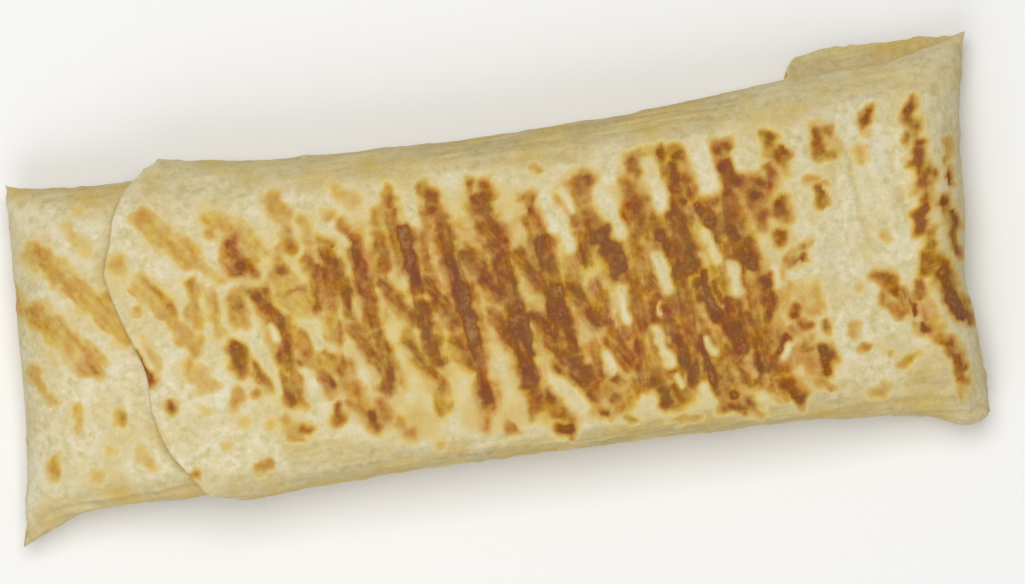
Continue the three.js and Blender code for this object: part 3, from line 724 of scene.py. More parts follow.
FOLDED_END_STROKES = [
    (124.7, 35.9, 124, 32.5, 3.2, 0.94), (126.3, 38.9, 125.7, 35.5, 1.8, 0.6),
    (125.3, 32.5, 125.3, 29.5, 1.8, 0.8), (122.3, 27.9, 121.9, 26.5, 2, 0.72),
    (125.9, 29.5, 126.7, 25.5, 2, 0.76), (126.6, 25.5, 125.5, 21.1, 2.1, 0.88),
    (123.5, 20.3, 126.1, 19.9, 1.8, 0.82), (125.5, 19.5, 125.5, 14.5, 3.3, 0.86),
    (124.5, 14.1, 126.1, 13.3, 1.8, 0.9), (128.5, 17.7, 128.9, 15.9, 2.4, 0.83),
    (122.7, 12.1, 126.1, 10.9, 2.8, 0.54), (125.1, 9.1, 125.1, 6.5, 2.4, 0.88),
    (123.3, 4.5, 122.5, 1.1, 3.3, 0.98), (125.1, 2.5, 126.1, -0.5, 1.9, 0.6),
    (131.6, 19.3, 131.8, 18.7, 1.6, 0.76), (134.1, 24.5, 134, 20.5, 1.2, 0.5),
    (134, 15.5, 134, 12.5, 1.5, 0.8), (130.8, 8.5, 130.8, 7.7, 2, 0.94), (131, 6.5, 132.4, 1.5, 3.3, 0.7),
    (133.5, 4.5, 133, -0.5, 1.7, 0.86), (125.7, -0.5, 125.5, -5.5, 1.7, 0.76),
    (123.1, -6.9, 123.5, -11.1, 2.8, 0.88), (124.7, -7.1, 125.7, -8.5, 3.6, 0.7),
    (127.5, -8.5, 128.5, -13.5, 3.8, 0.8), (125.1, -13.1, 125.5, -13.9, 2.8, 0.84),
    (127.7, -14.5, 129.1, -19.5, 4, 0.93), (129.1, -19.5, 131.6, -25.5, 4.4, 0.97),
    (132.6, -21.5, 134, -28.4, 2.8, 0.8), (132.6, -1.5, 133, -7.5, 1.9, 0.86),
    (108.5, -11.1, 110.8, -11.5, 2.8, 0.7), (112.2, -13.1, 113.4, -16.5, 4.2, 0.86),
    (110.2, -17.5, 109.2, -19.5, 2.3, 0.76), (111.2, -19.5, 113.6, -22.9, 3.8, 0.7),
    (115, -16.5, 115.2, -22.5, 3.3, 0.8), (117.9, -20.5, 117.8, -23.9, 1.9, 0.93),
    (120.5, -14.5, 119.9, -18.5, 2.2, 0.72), (120.3, -27.3, 121.1, -27.9, 2.8, 0.83),
    (117.1, -26.5, 120.1, -28.5, 2.2, 0.54), (123.7, -31.3, 124.3, -31.9, 2.3, 0.86),
    (126.5, -33.5, 128.7, -37.5, 3.2, 0.76), (128.5, -38.5, 131, -40.1, 1.9, 0.8),
    (129.1, -40.5, 129.6, -43.9, 2.4, 0.65), (127.9, -47.1, 128, -47.9, 1.8, 0.46),
]
print("strokes:", len(PALE_END_STROKES) + len(FOLDED_END_STROKES))

# %% [markdown]
# Some fainter strokes fill up between the others, where the dough was browned but no rib bit. The roll has
# strokes of its own, so that its marks need not line up with those of the tortilla over it.

# %% Fainter strokes, and strokes on the roll
FAINTER_STROKES = [
    (43.2, -16.8, 48.4, -36.5, 6.4, 0.62), (44.6, 12, 47.4, 5.6, 4.6, 0.62),
    (64.6, 2.6, 61.6, -3.4, 5, 0.5), (77.4, -42, 70.4, -37, 4.4, 0.56),
    (120, -19, 123.2, -27.6, 4.4, 0.52), (34.8, -34.4, 28, -38.2, 5.6, 0.56),
    (58, -23, 54.6, -33, 3.8, 0.76), (65.2, 16.4, 57.6, 21.4, 3.4, 0.6), (90.4, 1.2, 84.4, -1, 3, 0.48),
    (62.8, -25.6, 67.4, -35.8, 2.8, 0.72), (86, -26, 80.4, -32.4, 4.2, 0.5),
    (33.6, -11.6, 34.8, -18.8, 3, 0.6), (-44.4, -21.4, -43.2, -26.6, 2.6, 0.56),
    (-85, 12.6, -89.6, 6, 3.4, 0.45), (61, -37.6, 59.8, -43.4, 3.2, 0.68),
    (-85.4, -15.4, -90, -10, 2.6, 0.42), (69, -10.2, 64.6, -8, 2.4, 0.56),
    (-87.4, -2, -92.6, -2, 3, 0.46), (129.6, -13.4, 130.4, -18.8, 2.4, 0.86),
    (124.6, -10.8, 121.6, -12.8, 2.6, 0.72), (48.6, -8.8, 42, -1, 2, 0.7),
    (34.4, -2.4, 35.2, -5.8, 2.6, 0.56), (49.4, 33.2, 43.2, 33.6, 1.8, 0.5),
]
OUTER_STROKES = (FAINTER_STROKES + RIM_STROKES + LEFT_STROKES + MIDDLE_STROKES + RIGHT_STROKES
                 + DARK_STROKES + PALE_END_STROKES + FOLDED_END_STROKES)
ROLL_STROKES = [
    (-131, 29, -118, 14.5, 7, 0.5), (-118, 14.5, -108, 3, 6.4, 0.49), (-133, 11.6, -119, -4.8, 7.6, 0.5),
    (-121, 35, -116, 28, 2.8, 0.31), (-137, -5, -132, -13, 2.4, 0.45),
    (-125, -17, -125.6, -22, 2.3, 0.45), (-113, -20, -113, -22.6, 2.2, 0.63),
    (-134.6, -31, -134.6, -35, 2.3, 0.56), (-118, -30, -117.6, -30.4, 2, 0.32),
    (-117, 40, -116.8, 40, 1.6, 0.31), (-112, 14.6, -112, 13.4, 1.8, 0.47), (-144, 22, -137, 14, 6, 0.45),
    (-109, -31, -106, -36, 2, 0.36), (-122, -37, -121.6, -37.4, 2, 0.38),
]
print("strokes in all:", len(OUTER_STROKES) + len(ROLL_STROKES))

# %% [markdown]
# Where no rib touched, the dough stayed light, and between two bars that cross such a place has the shape
# of a spindle. It would be hard to leave these out stroke by stroke, so they are laid over the strokes, in
# the same form: from one place to another, with a width.

# %% Pale places between the strokes
SPINDLES = [
    (20.3, 20.4, 21.5, 9.4, 4.4), (32.4, 24.4, 37.3, 11.4, 4.4), (47.7, 30.4, 50.2, 17.4, 4.6),
    (46.3, 3.4, 48.3, -5.5, 4.2), (34.4, -4.5, 35.6, -13.5, 3.4), (61.6, 8.4, 63, 0.1, 2.8),
    (43.1, -17.5, 46, -27.5, 2.8), (67.1, -2.5, 68.3, -9.5, 3.6), (57.2, -22.1, 59, -25.9, 1.9),
    (28.8, -22.5, 29.4, -28.5, 2.4), (14.5, -29.4, 18.3, -36.5, 5.4), (37.7, -38.5, 38.7, -37.5, 6),
    (54.6, -35.5, 57, -39.9, 3.4), (62.2, 31.4, 64.1, 21.4, 6), (75.5, 31.2, 76.5, 26.3, 6),
    (-55.6, -2.1, -53, -8.6, 2.6), (-58.1, -15, -55.6, -22, 3), (-71.4, -5, -68.9, -11, 3.4),
    (-22.4, 30.7, -21.4, 22.7, 4.4), (80, -26.9, 79.2, -30.5, 2.2), (45.6, -9.5, 45.1, -13.9, 0.9),
    (-65.6, -2, -65.2, -4.4, 2.4), (-67.4, -13, -66.6, -20, 2.6), (21.8, 25.8, 24.4, 20.6, 2.6),
    (130, 24, 131, 16, 2.6), (72.6, 30, 74, 25.6, 2.6), (79.4, -4.6, 79.4, -10, 3),
    (-45, 26, -41, 19.4, 2.2), (47.5, -30.9, 48.3, -34.1, 1.8), (17.5, 30.4, 17.3, 15.4, 3.4),
    (36.8, 32.4, 36.2, 27.4, 4),
]
print("pale places:", len(SPINDLES))

# %% [markdown]
# ## From strokes to heat
#
# A stroke as such has the outline of a sausage. Two things make it a grill mark. The places are moved to
# and fro a little before they are compared with the stroke, so that its edge wanders. And its heat is
# uneven: streaks along a long bar, blotches in a short mark. Both use the hills from above. They could be
# left to the material, but in the mesh the relief can follow them.

# %% The edge and the body of a stroke
WIDE_WANDER = {"by": 0.6, "long": 4.6}
FINE_WANDER = {"by": 0.4, "long": 1.9}
LONG_BAR = 6.0  # a mark longer than this was made by one rib, and has streaks along it
DOT = 1.5  # one shorter than this has no direction of its own, and takes that of the ribs
RIB_TURN = 95


def along_stroke(x, y, x0, y0, x1, y1):
    """How far each place is from a line between two places."""
    run = max((x1 - x0) ** 2 + (y1 - y0) ** 2, 1e-6)
    share = np.clip(((x - x0) * (x1 - x0) + (y - y0) * (y1 - y0)) / run, 0, 1)
    return np.hypot(x - x0 - share * (x1 - x0), y - y0 - share * (y1 - y0))


def wander(x, y):
    """Moves places a little to and fro, so that edges drawn through them come out uneven."""
    wide, long = WIDE_WANDER["by"], WIDE_WANDER["long"]
    fine, short = FINE_WANDER["by"], FINE_WANDER["long"]
    u = x + wide * hills(x, y, long, long, 30, 41) + fine * hills(x, y, short, short, 50, 42)
    v = y + wide * hills(x, y, long, long, 20, 43) + fine * hills(x, y, short, short, 60, 44)
    return u, v


def stroke_turn(x0, y0, x1, y1):
    """The direction of a stroke in degrees."""
    if math.hypot(x1 - x0, y1 - y0) < DOT:
        return RIB_TURN
    return math.degrees(math.atan2(y1 - y0, x1 - x0)) % 180


def unevenness(x, y, turn, length):
    """What makes one stroke hotter here than there: streaks in a long bar, blotches in a short mark."""
    if length > LONG_BAR:
        return 0.17 * hills(x, y, 9, 1.8, turn, 45) + 0.13 * hills(x, y, 3.4, 2.6, turn, 46)
    return 0.22 * hills(x, y, 3, 2.6, turn, 47)


print("direction of the first long bar in degrees:", round(stroke_turn(*RIM_STROKES[1][:4])))

# %% [markdown]
# Where strokes overlap, the hottest one wins, as it does on a grill. Around a stroke the dough is warm for
# some millimetres more. The heat remembers whether it lies in an upright or in a slanting bar, because the
# material's fine streaks run along the bar.

# %% Heat of the strokes
SOFT_EDGE = {"inside": 1.6, "outside": 2.3, "least": 0.4}  # how far the heat takes to fall off at an edge
HALO = {"reach": 4.0, "heat": 0.36, "share": 0.5}  # the faint warmth around a stroke
SLANTING = (100, 145)  # directions of the bars that slant
COOLED = {"by": 0.85, "core": 0.15, "reach": 0.8}  # how a pale place cools what lies below it
WANDER_ROOM = 3  # how much further than its own reach a stroke may wander


def strokes_heat(x, y, strokes, spindles=(), haze=0.0):
    """The heat of the strokes at each place, and how much of it lies in ribs' bars and in slanting bars."""
    u, v = wander(x, y)
    frayed = 1 + 0.75 * hills(x, y, 3.2, 3.2, 15, 48) + 0.35 * hills(x, y, 1.6, 1.6, 55, 49)
    heat = np.zeros_like(x)
    cool = np.ones_like(x)
    upright = np.zeros_like(x)
    slant = np.zeros_like(x)
    for x0, y0, x1, y1, width, strength in strokes:
        turn = stroke_turn(x0, y0, x1, y1)
        length = math.hypot(x1 - x0, y1 - y0)
        near = np.abs(x - (x0 + x1) / 2) < abs(x1 - x0) / 2 + width / 2 + HALO["reach"] + WANDER_ROOM
        away = along_stroke(u[near], v[near], x0, y0, x1, y1)
        inside = min(SOFT_EDGE["inside"], width * SOFT_EDGE["least"])
        outside = SOFT_EDGE["outside"] * frayed[near]
        fall = 1 - ease(away, width / 2 - inside, width / 2 + outside)
        own = strength * fall * (1 + unevenness(x[near], y[near], turn, length))
        slanting = SLANTING[0] < turn < SLANTING[1]
        bar = float(length > LONG_BAR)
        slant[near] = np.where(own > heat[near], bar * slanting, slant[near])
        upright[near] = np.where(own > heat[near], bar * (not slanting), upright[near])
        heat[near] = np.maximum(heat[near], own)
        warmed = HALO["share"] * strength**2 * (1 - ease(away, width / 2, width / 2 + HALO["reach"]))
        cool[near] = cool[near] * (1 - warmed)
    heat = np.maximum(heat, HALO["heat"] * (1 - cool))
    heat = heat + haze * (1 - ease(heat, 0.2, 0.9))
    for x0, y0, x1, y1, width in spindles:
        away = along_stroke(u, v, x0, y0, x1, y1)
        heat = heat * (1 - COOLED["by"] * (1 - ease(away, width * COOLED["core"], width * COOLED["reach"])))
    return heat, upright, slant


def hottest_part(x, y):
    """A faint warmth over the part of the top where the plate pressed hardest, in patches."""
    along = (0.4 * ease(x, -84, -64) + 0.6 * ease(x, -50, -30)) * (1 - ease(x, 72, 94))
    across = (1 - ease(y, 24, 36)) * ease(y + np.minimum(0.2 * (x + 30), 0), -45, -34)
    return along * across * (0.21 + 0.14 * hills(x, y, 9, 5, 85, 71) + 0.08 * hills(x, y, 3, 3, 0, 72))


crossing = np.linspace(-44, 48, 5)
print("heat from lip to lip at x = 0:", strokes_heat(crossing * 0, crossing, OUTER_STROKES)[0].round(2))

# %% [markdown]
# The side that lies on the table was grilled by the lower plate. Nobody sees it in the photograph, so its
# bars follow a rule: ribs at the same distance and slant, pressed harder in the middle, with a slow noise
# for the places that didn't touch.

# %% Heat below
RIB_PITCH = 14.1
RIB_WIDTH = 7.4
FIRST_PRESSING = (85, 6)  # the direction of its ribs in degrees, and where the first one lies
SECOND_PRESSING = (53, 3)


def ribs(x, y, angle, offset):
    """1 on the bars of a ribbed plate and 0 between them."""
    a = math.radians(angle)
    across = (x - offset) * math.sin(a) + y * math.cos(a)
    away = np.abs(across - RIB_PITCH * np.round(across / RIB_PITCH))
    return 1 - ease(away, RIB_WIDTH * 0.25, RIB_WIDTH * 0.7)


def ruled_heat(x, y, seed):
    """Bars of the lower plate, as uneven as those on top."""
    u = x + 1.3 * hills(x, y, 6, 6, 30, seed)
    v = y + 1.3 * hills(x, y, 6, 6, 60, seed + 1)
    touch = 0.62 + 0.4 * hills(x, y, 34, 22, 10, seed + 2) + 0.25 * hills(x, y, 7, 5, 80, seed + 3)
    pressed = 1 - ease(np.abs(y), 24, 40)
    ends = ease(x, -118, -90) * (1 - ease(x, 96, 126))
    bars = np.maximum(ribs(u, v, *FIRST_PRESSING), 0.8 * ribs(u, v, *SECOND_PRESSING))
    return np.clip(bars * touch, 0, 1) * pressed * (0.35 + 0.65 * ends)


print("ribs of the lower plate under the roll:", int((FOLDED_END[0][1] - ROLL_END[0][1]) / RIB_PITCH))

# %% [markdown]
# ## The relief of the crust
#
# Three things shape the skin below the size of the filling's lumps: small blisters where steam lifted the
# dough, the grill's bars, which are pressed in, and creases along the sides, where the sheet was folded
# round. They are moved along the surface's own direction, so that they stand out as true in a side view as
# from above.

# %% Relief
HEIGHTS = {  # in millimetres
    "large blisters": 0.5, "small blisters": 0.35, "swell": 0.22, "grain": 0.07,
    "side folds": 0.38, "side dents": 0.34, "side ripples": 0.12, "bars": -0.42,
    "side": -0.75,  # the creases stand out, so the skin between them lies this much deeper
}
FLATTENED = 0.7  # how much of the blisters a rib pressed flat


def crust_relief(x, y, s, t, heat, top):
    """How far the skin stands out at each point, in millimetres. s is the way round, t the share across."""
    blisters = np.maximum(hills(x, s, 4.6, 3.8, 25, 11) - 0.3, 0) * HEIGHTS["large blisters"]
    blisters = blisters + np.maximum(hills(x, s, 2.6, 2.3, 65, 12) - 0.45, 0) * HEIGHTS["small blisters"]
    blisters = blisters * (1 - FLATTENED * ease(heat, 0.3, 0.7))
    swell = HEIGHTS["swell"] * hills(x, s, 11, 8, 15, 13)
    grain = HEIGHTS["grain"] * hills(x, s, 1.7, 1.5, 40, 14)
    folds = 1 - np.abs(hills(x + 4 * hills(x, s, 14, 9, 0, 15), s, 38, 3.6, 2, 16)) * 2
    creases = HEIGHTS["side folds"] * folds + HEIGHTS["side dents"] * hills(x, s, 17, 5, -4, 17)
    creases = creases + HEIGHTS["side ripples"] * hills(x, s, 3.2, 6, 8, 18)
    side = np.where(top, ease(np.abs(t), 0.74, 0.93), ease(np.abs(t), 0.55, 0.9))
    pressed = HEIGHTS["bars"] * ease(heat, 0.25, 0.8) + HEIGHTS["side"] * ease(np.abs(t), 0.8, 0.97)
    return swell + grain + blisters + side * creases + pressed


print("a dark bar lies deeper than plain dough by, in millimetres:", -HEIGHTS["bars"])

# %% [markdown]
# The sheet was folded at its end, and some of those folds show through as single lines and dents. They have
# to be where they are in the photograph, so they are drawn one by one, in the way of the strokes, but each
# with a height instead of a heat.

# %% Folds near the folded end
# Each is given as from (x, y) to (x, y), how wide, and how high or deep.
END_CREASES = [
    (105.2, 28, 107.4, 2, 2.2, -0.45), (110.4, 28, 114.8, 7, 2.6, 0.6), (117, 25, 119.4, 3, 1.9, -0.5),
    (108.6, 30, 112.4, 10, 1.4, -0.45), (99.8, 22, 101, 4, 1.5, -0.35),
    (133.4, 42, 133.9, 12, 1.2, -0.55), (136.6, 47, 137, 16, 1.2, -0.45),
    (121.6, 36, 118.4, 15, 2.2, 0.3), (104, -22, 121, -38, 2, -0.3), (110, -43, 131, -46, 1.8, -0.4),
    (100, 41, 128, 43.5, 1.8, -0.35), (131.2, -6, 132, -22, 1.3, -0.3), (97, 8, 99.4, -12, 1.8, 0.25),
]


def creases_at(x, y, folds):
    """How far single folds stand out or go in."""
    u, v = wander(x, y)
    relief = np.zeros_like(x)
    for x0, y0, x1, y1, width, height in folds:
        relief = relief + height * (1 - ease(along_stroke(u, v, x0, y0, x1, y1), 0, width))
    return relief


print("folds near the end:", len(END_CREASES))

# %% [markdown]
# ## The outer tortilla
#
# Its round edge is the curved step that shows on the left. A sheet that was torn or cut has small waves in
# its edge, and this one curled up a little on the grill. Both are added to the line of the rim, because a
# step with a clean edge looks like a plastic lid.

# %% The rim
EDGE = 1.1  # how far the rounded edge of a sheet bulges
RIM_LIFT = [(-1, 0), (-0.92, 0.4), (-0.75, 1.2), (-0.55, 0.9), (-0.3, 0.3), (0, 0.2), (0.25, 0.3),
            (0.5, 0.8), (0.75, 0.7), (0.93, 0.2), (1, 0)]  # how far it stands off the roll, by share across
LIFT_REACH = 13
TYPICAL_HALF = TYPICAL["half"]


def rim_line(t, side):
    """The line of the rim at a share of the half width, on top or below."""
    return follow(TOP_RIM if side > 0 else UNDER_RIM, t)


def cut_edge(t, side):
    """Where the first ring behind the rounded edge runs, with the small waves of a cut edge."""
    y = t * TYPICAL_HALF
    wave = 0.35 * hills(y, y * 0 + 3, 7, 7, 0, 21) + 0.2 * hills(y, y * 0 + 9, 2.6, 2.6, 0, 22)
    return rim_line(t, side) + wave * (1 - t**8) + EDGE


def lifted(points):
    """Raises the top of a ring near the rim, where the sheet's edge curled up."""
    t = points[:, 1] / np.abs(points[:, 1]).max()
    top = np.arange(RING) <= TOP_ROWS
    near_rim = 1 - ease(points[:, 0] - follow(TOP_RIM, t), 0, LIFT_REACH)
    raised = points.copy()
    raised[:, 2] += np.where(top, follow(RIM_LIFT, t) * near_rim, 0)
    return raised


print("the rim on top reaches from x =", TOP_RIM[0][1], "to", min(place for _, place in TOP_RIM))

# %% [markdown]
# The rings of the outer tortilla start deep inside, at the end of the hollow that the roll fills. They come
# out along the hollow, turn round the cut edge and run along the outside to the folded end. So the sheet
# has its true thickness, and the mesh is one closed body. The hollow is covered by the roll, so it needs
# few rings.

# %% Rings of the outer tortilla
SKIN_RINGS = 304
HOLLOW_RINGS = 9
HOLLOW_SPREAD = 1.6  # above 1, the rings of the hollow are closest by the rim
END_RINGS = 14
HIDDEN_END_RINGS = 4
EDGE_RINGS = 5


def before_curl(skin):
    """The line across the roll where its folded end begins to curl down."""
    return lambda t, side: skin.end(t) - END_ROUND


outside = []
for share in np.linspace(0, 1, SKIN_RINGS)[:-1]:
    outside.append(ring(outer_skin, between(cut_edge, before_curl(outer_skin), share), seam=True))
outside += end_rings(outer_skin, outer_skin.end, 1, END_RINGS, seam=True)
outside = [lifted(points) for points in outside]

hollow = []
for share in np.linspace(0, 1, HOLLOW_RINGS)[:-1] ** HOLLOW_SPREAD:
    hollow.append(ring(hollow_skin, between(cut_edge, before_curl(hollow_skin), share)))
hollow += end_rings(hollow_skin, hollow_skin.end, 1, HIDDEN_END_RINGS, mouth=0)
hollow = [lifted(points) for points in hollow]

edge = []
for angle in np.linspace(-math.pi / 2, math.pi / 2, EDGE_RINGS + 2)[1:-1]:
    middle = (outside[0] + hollow[0]) / 2
    half = (outside[0] - hollow[0]) / 2
    edge.append(middle + half * math.sin(angle) - np.array([EDGE * math.cos(angle), 0, 0]))

outer_rings = np.array(hollow[::-1] + edge + outside)
print("rings of the outer tortilla:", len(outer_rings))

# %% [markdown]
# The heat of the strokes and of the lower plate is worked out for every point, and the relief follows from
# it. At the sharp corners of the folded end the relief fades out, because it would tear the thin point
# open. It also fades out round the rim and in the hollow, which has to stay clear of the roll.

# %% Heat and relief of the outer tortilla
UNDER_SEED = 51
EDGE_SHOWING = (0.2, 0.9)  # share of the relief at the first and last ring of the rounded edge

x, y, s, t, top = measures(outer_rings)
heat, upright, slant = strokes_heat(x, y, OUTER_STROKES, SPINDLES, hottest_part(x, y))
heat = np.where(top, heat, ruled_heat(x, y, UNDER_SEED))
folded = np.where(top, creases_at(x, y, END_CREASES), 0)
at_corner = ease(np.abs(t), 0.9, 1) * ease(x, 128, 134)
relief = (crust_relief(x, y, s, t, heat, top) + folded) * (1 - at_corner)
showing = np.zeros(x.shape)
showing[len(hollow) + len(edge):] = 1
showing[len(hollow):len(hollow) + len(edge)] = np.linspace(*EDGE_SHOWING, len(edge))[:, None]
points, faces = raised_tube(outer_rings, relief * showing)
print("relief in millimetres, lowest and highest:", relief.min().round(2), relief.max().round(2))

# %% [markdown]
# The sides never touched the plates. They are painted tan, partly as the dough's own duller colour there and
# partly as painted shade, where the skin turns down away from the light. How tan they are, from 0 to 1, is
# kept apart from the heat, because it is another colour: dull and even, where the ribs' brown is warm and
# patchy. The painted band reaches further in on the far side than on the near one, and a few places on top
# are tan too. The same number carries the painted shade in the folds and where the folded end curls down.

# %% Tan and painted shade
# How strong the sides' tan and painted shade are along the roll, on the far and on the near side.
FAR_SIDE_TAN_AND_SHADE = [(-105, 0.6), (-85, 0.5), (-60, 0.65), (-20, 0.9), (10, 1.0), (60, 1.1), (80, 0.6), (145, 0.6)]
NEAR_SIDE_TAN_AND_SHADE = [(-105, 0.6), (-60, 0.75), (0, 0.95), (40, 1.15), (80, 1.0), (100, 0.8), (145, 0.6)]
FAR_BAND = (0.67, 0.83)  # the tan begins and is full at these shares of the half width
NEAR_BAND = (0.8, 0.94)
UNDER_BAND = (0.5, 0.8)
# From (x, y) to (x, y), how wide, and how tan.
TAN_PLACES = [
    (120, -44, 127, -46, 13, 0.9), (124, -33, 123, -44, 7, 0.7), (-62, -38, -42, -42, 9, 0.8),
    (-38, -40, -28, -45, 6, 0.7), (-6, 37.6, 26, 35.6, 4.5, 0.8), (96, 0, 95.6, -11, 5, 0.5),
    (84, -45, 92, -41, 5, 0.9), (92, 30, 100, 24, 4, 0.4),
]


def tan_places(x, y):
    """How tan the top is at each of those places."""
    u, v = wander(x, y)
    tan = np.zeros_like(x)
    for x0, y0, x1, y1, width, strength in TAN_PLACES:
        away = along_stroke(u, v, x0, y0, x1, y1)
        tan = np.maximum(tan, strength * (1 - ease(away, width * 0.2, width * 0.8)))
    return tan


reach = np.abs(t) + 0.03 * hills(x, y, 11, 5, 0, 81)
steam = np.where(y > 0, ease(reach, *FAR_BAND), ease(reach, *NEAR_BAND))
steam = np.where(top, steam, ease(np.abs(t), *UNDER_BAND))
steam = steam * np.where(y > 0, follow(FAR_SIDE_TAN_AND_SHADE, x), follow(NEAR_SIDE_TAN_AND_SHADE, x))
# Painted shade where the folded end curls down, away from the light.
steam = np.maximum(steam, 0.35 * ease(x, 128, 137))  # where the end curls down
steam = steam * (0.35 + 0.65 * ease(x - follow(TOP_RIM, t), 1, 7))  # the rim itself stayed pale
# Painted shade in the creases of the folds.
steam = np.maximum(steam, 0.9 * ease(-folded, 0.1, 0.7))  # in the folds
steam = np.maximum(steam, np.where(top, tan_places(x, y), 0))
print("share of the outer tortilla that is tan:", (steam > 0.5).mean().round(2))

# %% [markdown]
# The round sheet doesn't end everywhere below the roll. Near the folded end a piece of its edge runs out
# past the far side, as a flap. It is a thin blade, thickest at its root inside the side of the roll. It
# belongs to the same mesh, because it is the same sheet. It is a grid of points on either side, joined
# along its edge.

# %% The flap
FLAP = {
    "root": 0.8, "root_at_ear": 0.955,  # where its root lies, as a share of the half width
    "bite": 1.0,  # how far the root lies inside the roll
    "lift": 0.15, "thick": 2.1, "tip": 1.2, "fullness": 6,
    "columns": 150, "rows": 30, "tan": 0.8,
}


def flap_side(side):
    """One face of the flap: side is 1 for its top and -1 for its underside."""
    along = np.linspace(0, 1, FLAP["columns"] + 1)[:, None]
    out = np.sin(np.linspace(0, math.pi / 2, FLAP["rows"] + 1))[None, :]
    x = FLAP_EDGE[0][0] + (FLAP_EDGE[-1][0] - FLAP_EDGE[0][0]) * along
    t = FLAP["root"] + (FLAP["root_at_ear"] - FLAP["root"]) * along
    z = outer_skin.lip(x) - (outer_skin.lip(x) - outer_skin.base(x)) * curled_drop(t)
    root = t * outer_skin.side(x, t) - FLAP["bite"]
    ragged = 0.45 * hills(x, x * 0 + 5, 5, 5, 0, 31) + 0.25 * hills(x, x * 0 + 8, 2.1, 2.1, 0, 32)
    reach = np.maximum(follow(FLAP_EDGE, x) - root + ragged * shoulder(2 * along - 1, 4), 0.2)
    y = root + reach * out
    ends = np.maximum(shoulder(2 * along - 1, FLAP["fullness"]), 0.5 * (along > 0.5) * (along < 1))
    thick = (FLAP["thick"] + (FLAP["tip"] - FLAP["thick"]) * out) * ends
    droop = 0.5 * hills(x, y, 16, 9, 0, 33) * out + 0.18 * hills(x, y, 4, 3, 0, 34) * out
    height = z + FLAP["lift"] + FLAP["thick"] / 2 + droop + side * thick * shoulder(out, 4) / 2
    return np.stack(np.broadcast_arrays(x, y, height), axis=-1)


flap_points = np.concatenate([flap_side(side).reshape(-1, 3) for side in (1, -1)])
index = len(points) + np.arange(len(flap_points)).reshape(2, FLAP["columns"] + 1, FLAP["rows"] + 1)
above, below = index
below[:, -1] = above[:, -1]
below[0] = above[0]
below[-1] = above[-1]
flap_faces = [
    *zip(above[:-1, :-1].flat, above[1:, :-1].flat, above[1:, 1:].flat, above[:-1, 1:].flat),
    *zip(below[:-1, :-1].flat, below[:-1, 1:].flat, below[1:, 1:].flat, below[1:, :-1].flat),
    *zip(below[:-1, 0], below[1:, 0], above[1:, 0], above[:-1, 0]),
]
flap_faces = [tuple(int(corner) for corner in dict.fromkeys(face)) for face in flap_faces]
flap_heat, _, _ = strokes_heat(flap_points[:, 0], flap_points[:, 1], PALE_END_STROKES)
no_bars = np.zeros(len(flap_points))
print("faces of the flap:", len(flap_faces))

# %% [markdown]
# Now the tube and the flap become one mesh. A mesh can carry a number for each point, called an attribute.
# It is a good place for what was worked out above: the material only has to read it, and no picture has to
# be wrapped round the roll.

# %% The outer tortilla's mesh
outer = smooth_piece("outer_tortilla_crust", np.concatenate([points, flap_points]), faces + flap_faces, {
    "browning": np.concatenate([heat.ravel(), flap_heat]),
    "upright_bar": np.concatenate([upright.ravel(), no_bars]),
    "slanting_bar": np.concatenate([slant.ravel(), no_bars]),
    "steam": np.concatenate([steam.ravel(), np.full(len(flap_points), FLAP["tan"])]),
})

# %% [markdown]
# ## The roll
#
# The inner tortilla shows only at one end, so its rings are close together there and far apart where it is
# covered. It starts in a mouth of its own, the fold that shuts the filling in.

# %% Rings of the roll
BARE_RINGS = 60
COVERED_RINGS = 14
COVERED_END_RINGS = 5
PAST_RIM = 8  # how far the close rings go on under the outer tortilla


def roll_start(t):
    return follow(ROLL_END, t)


def after_curl(t, side):
    """The line across the roll where the curl of its bare end is over."""
    return roll_start(t) + END_ROUND


def under_rim(t, side):
    """A line a little way under the outer tortilla."""
    return rim_line(t, side) + PAST_RIM


roll_rings = end_rings(roll_skin, roll_start, -1, END_RINGS)[::-1]
for share in np.linspace(0, 1, BARE_RINGS)[1:]:
    roll_rings.append(ring(roll_skin, between(after_curl, under_rim, share)))
for share in np.linspace(0, 1, COVERED_RINGS)[1:-1]:
    roll_rings.append(ring(roll_skin, between(under_rim, before_curl(roll_skin), share)))
roll_rings += end_rings(roll_skin, roll_skin.end, 1, COVERED_END_RINGS, mouth=0)
roll_rings = np.array(roll_rings)
print("rings of the roll:", len(roll_rings))

# %% [markdown]
# Its heat, its relief and its tan and painted shade come about in the same way as those of the outer
# tortilla. The relief stops a little before the rim, so that the roll doesn't cut through the sheet that
# covers it. Next to the rim the dough gets a painted shadow, a tan band where the outer tortilla's edge
# shades it.

# %% The roll's mesh
ROLL_UNDER_SEED = 61
# Painted shadow of the outer tortilla's rim on the roll beside it, by share across.
RIM_SHADE = [(-1, 0.9), (-0.6, 0.9), (-0.35, 0.3), (0.1, 0.3), (0.35, 0.8), (0.6, 1), (1, 0.9)]
# The roll's sides get the same tan and painted shade as those of the outer tortilla.
ROLL_BAND = (0.79, 0.92)
ROLL_SIDE_TAN_AND_SHADE = 0.75

x, y, s, t, top = measures(roll_rings)
heat, upright, slant = strokes_heat(x, y, ROLL_STROKES)
heat = np.where(top, heat, ruled_heat(x, y, ROLL_UNDER_SEED))
to_rim = follow(TOP_RIM, np.clip(t, -1, 1)) - x
at_corner = ease(np.abs(t), 0.88, 0.99) * (1 - ease(x, -141, -133))
relief = crust_relief(x, y, s, t, heat, top) * ease(to_rim, -3, 3) * (1 - at_corner)
steam = np.where(top, ROLL_SIDE_TAN_AND_SHADE * ease(np.abs(t), *ROLL_BAND), ease(np.abs(t), *UNDER_BAND))
# Painted shadow beside the rim.
steam = np.maximum(steam, np.where(top, follow(RIM_SHADE, t) * (1 - ease(to_rim, 0.5, 5)), 0))

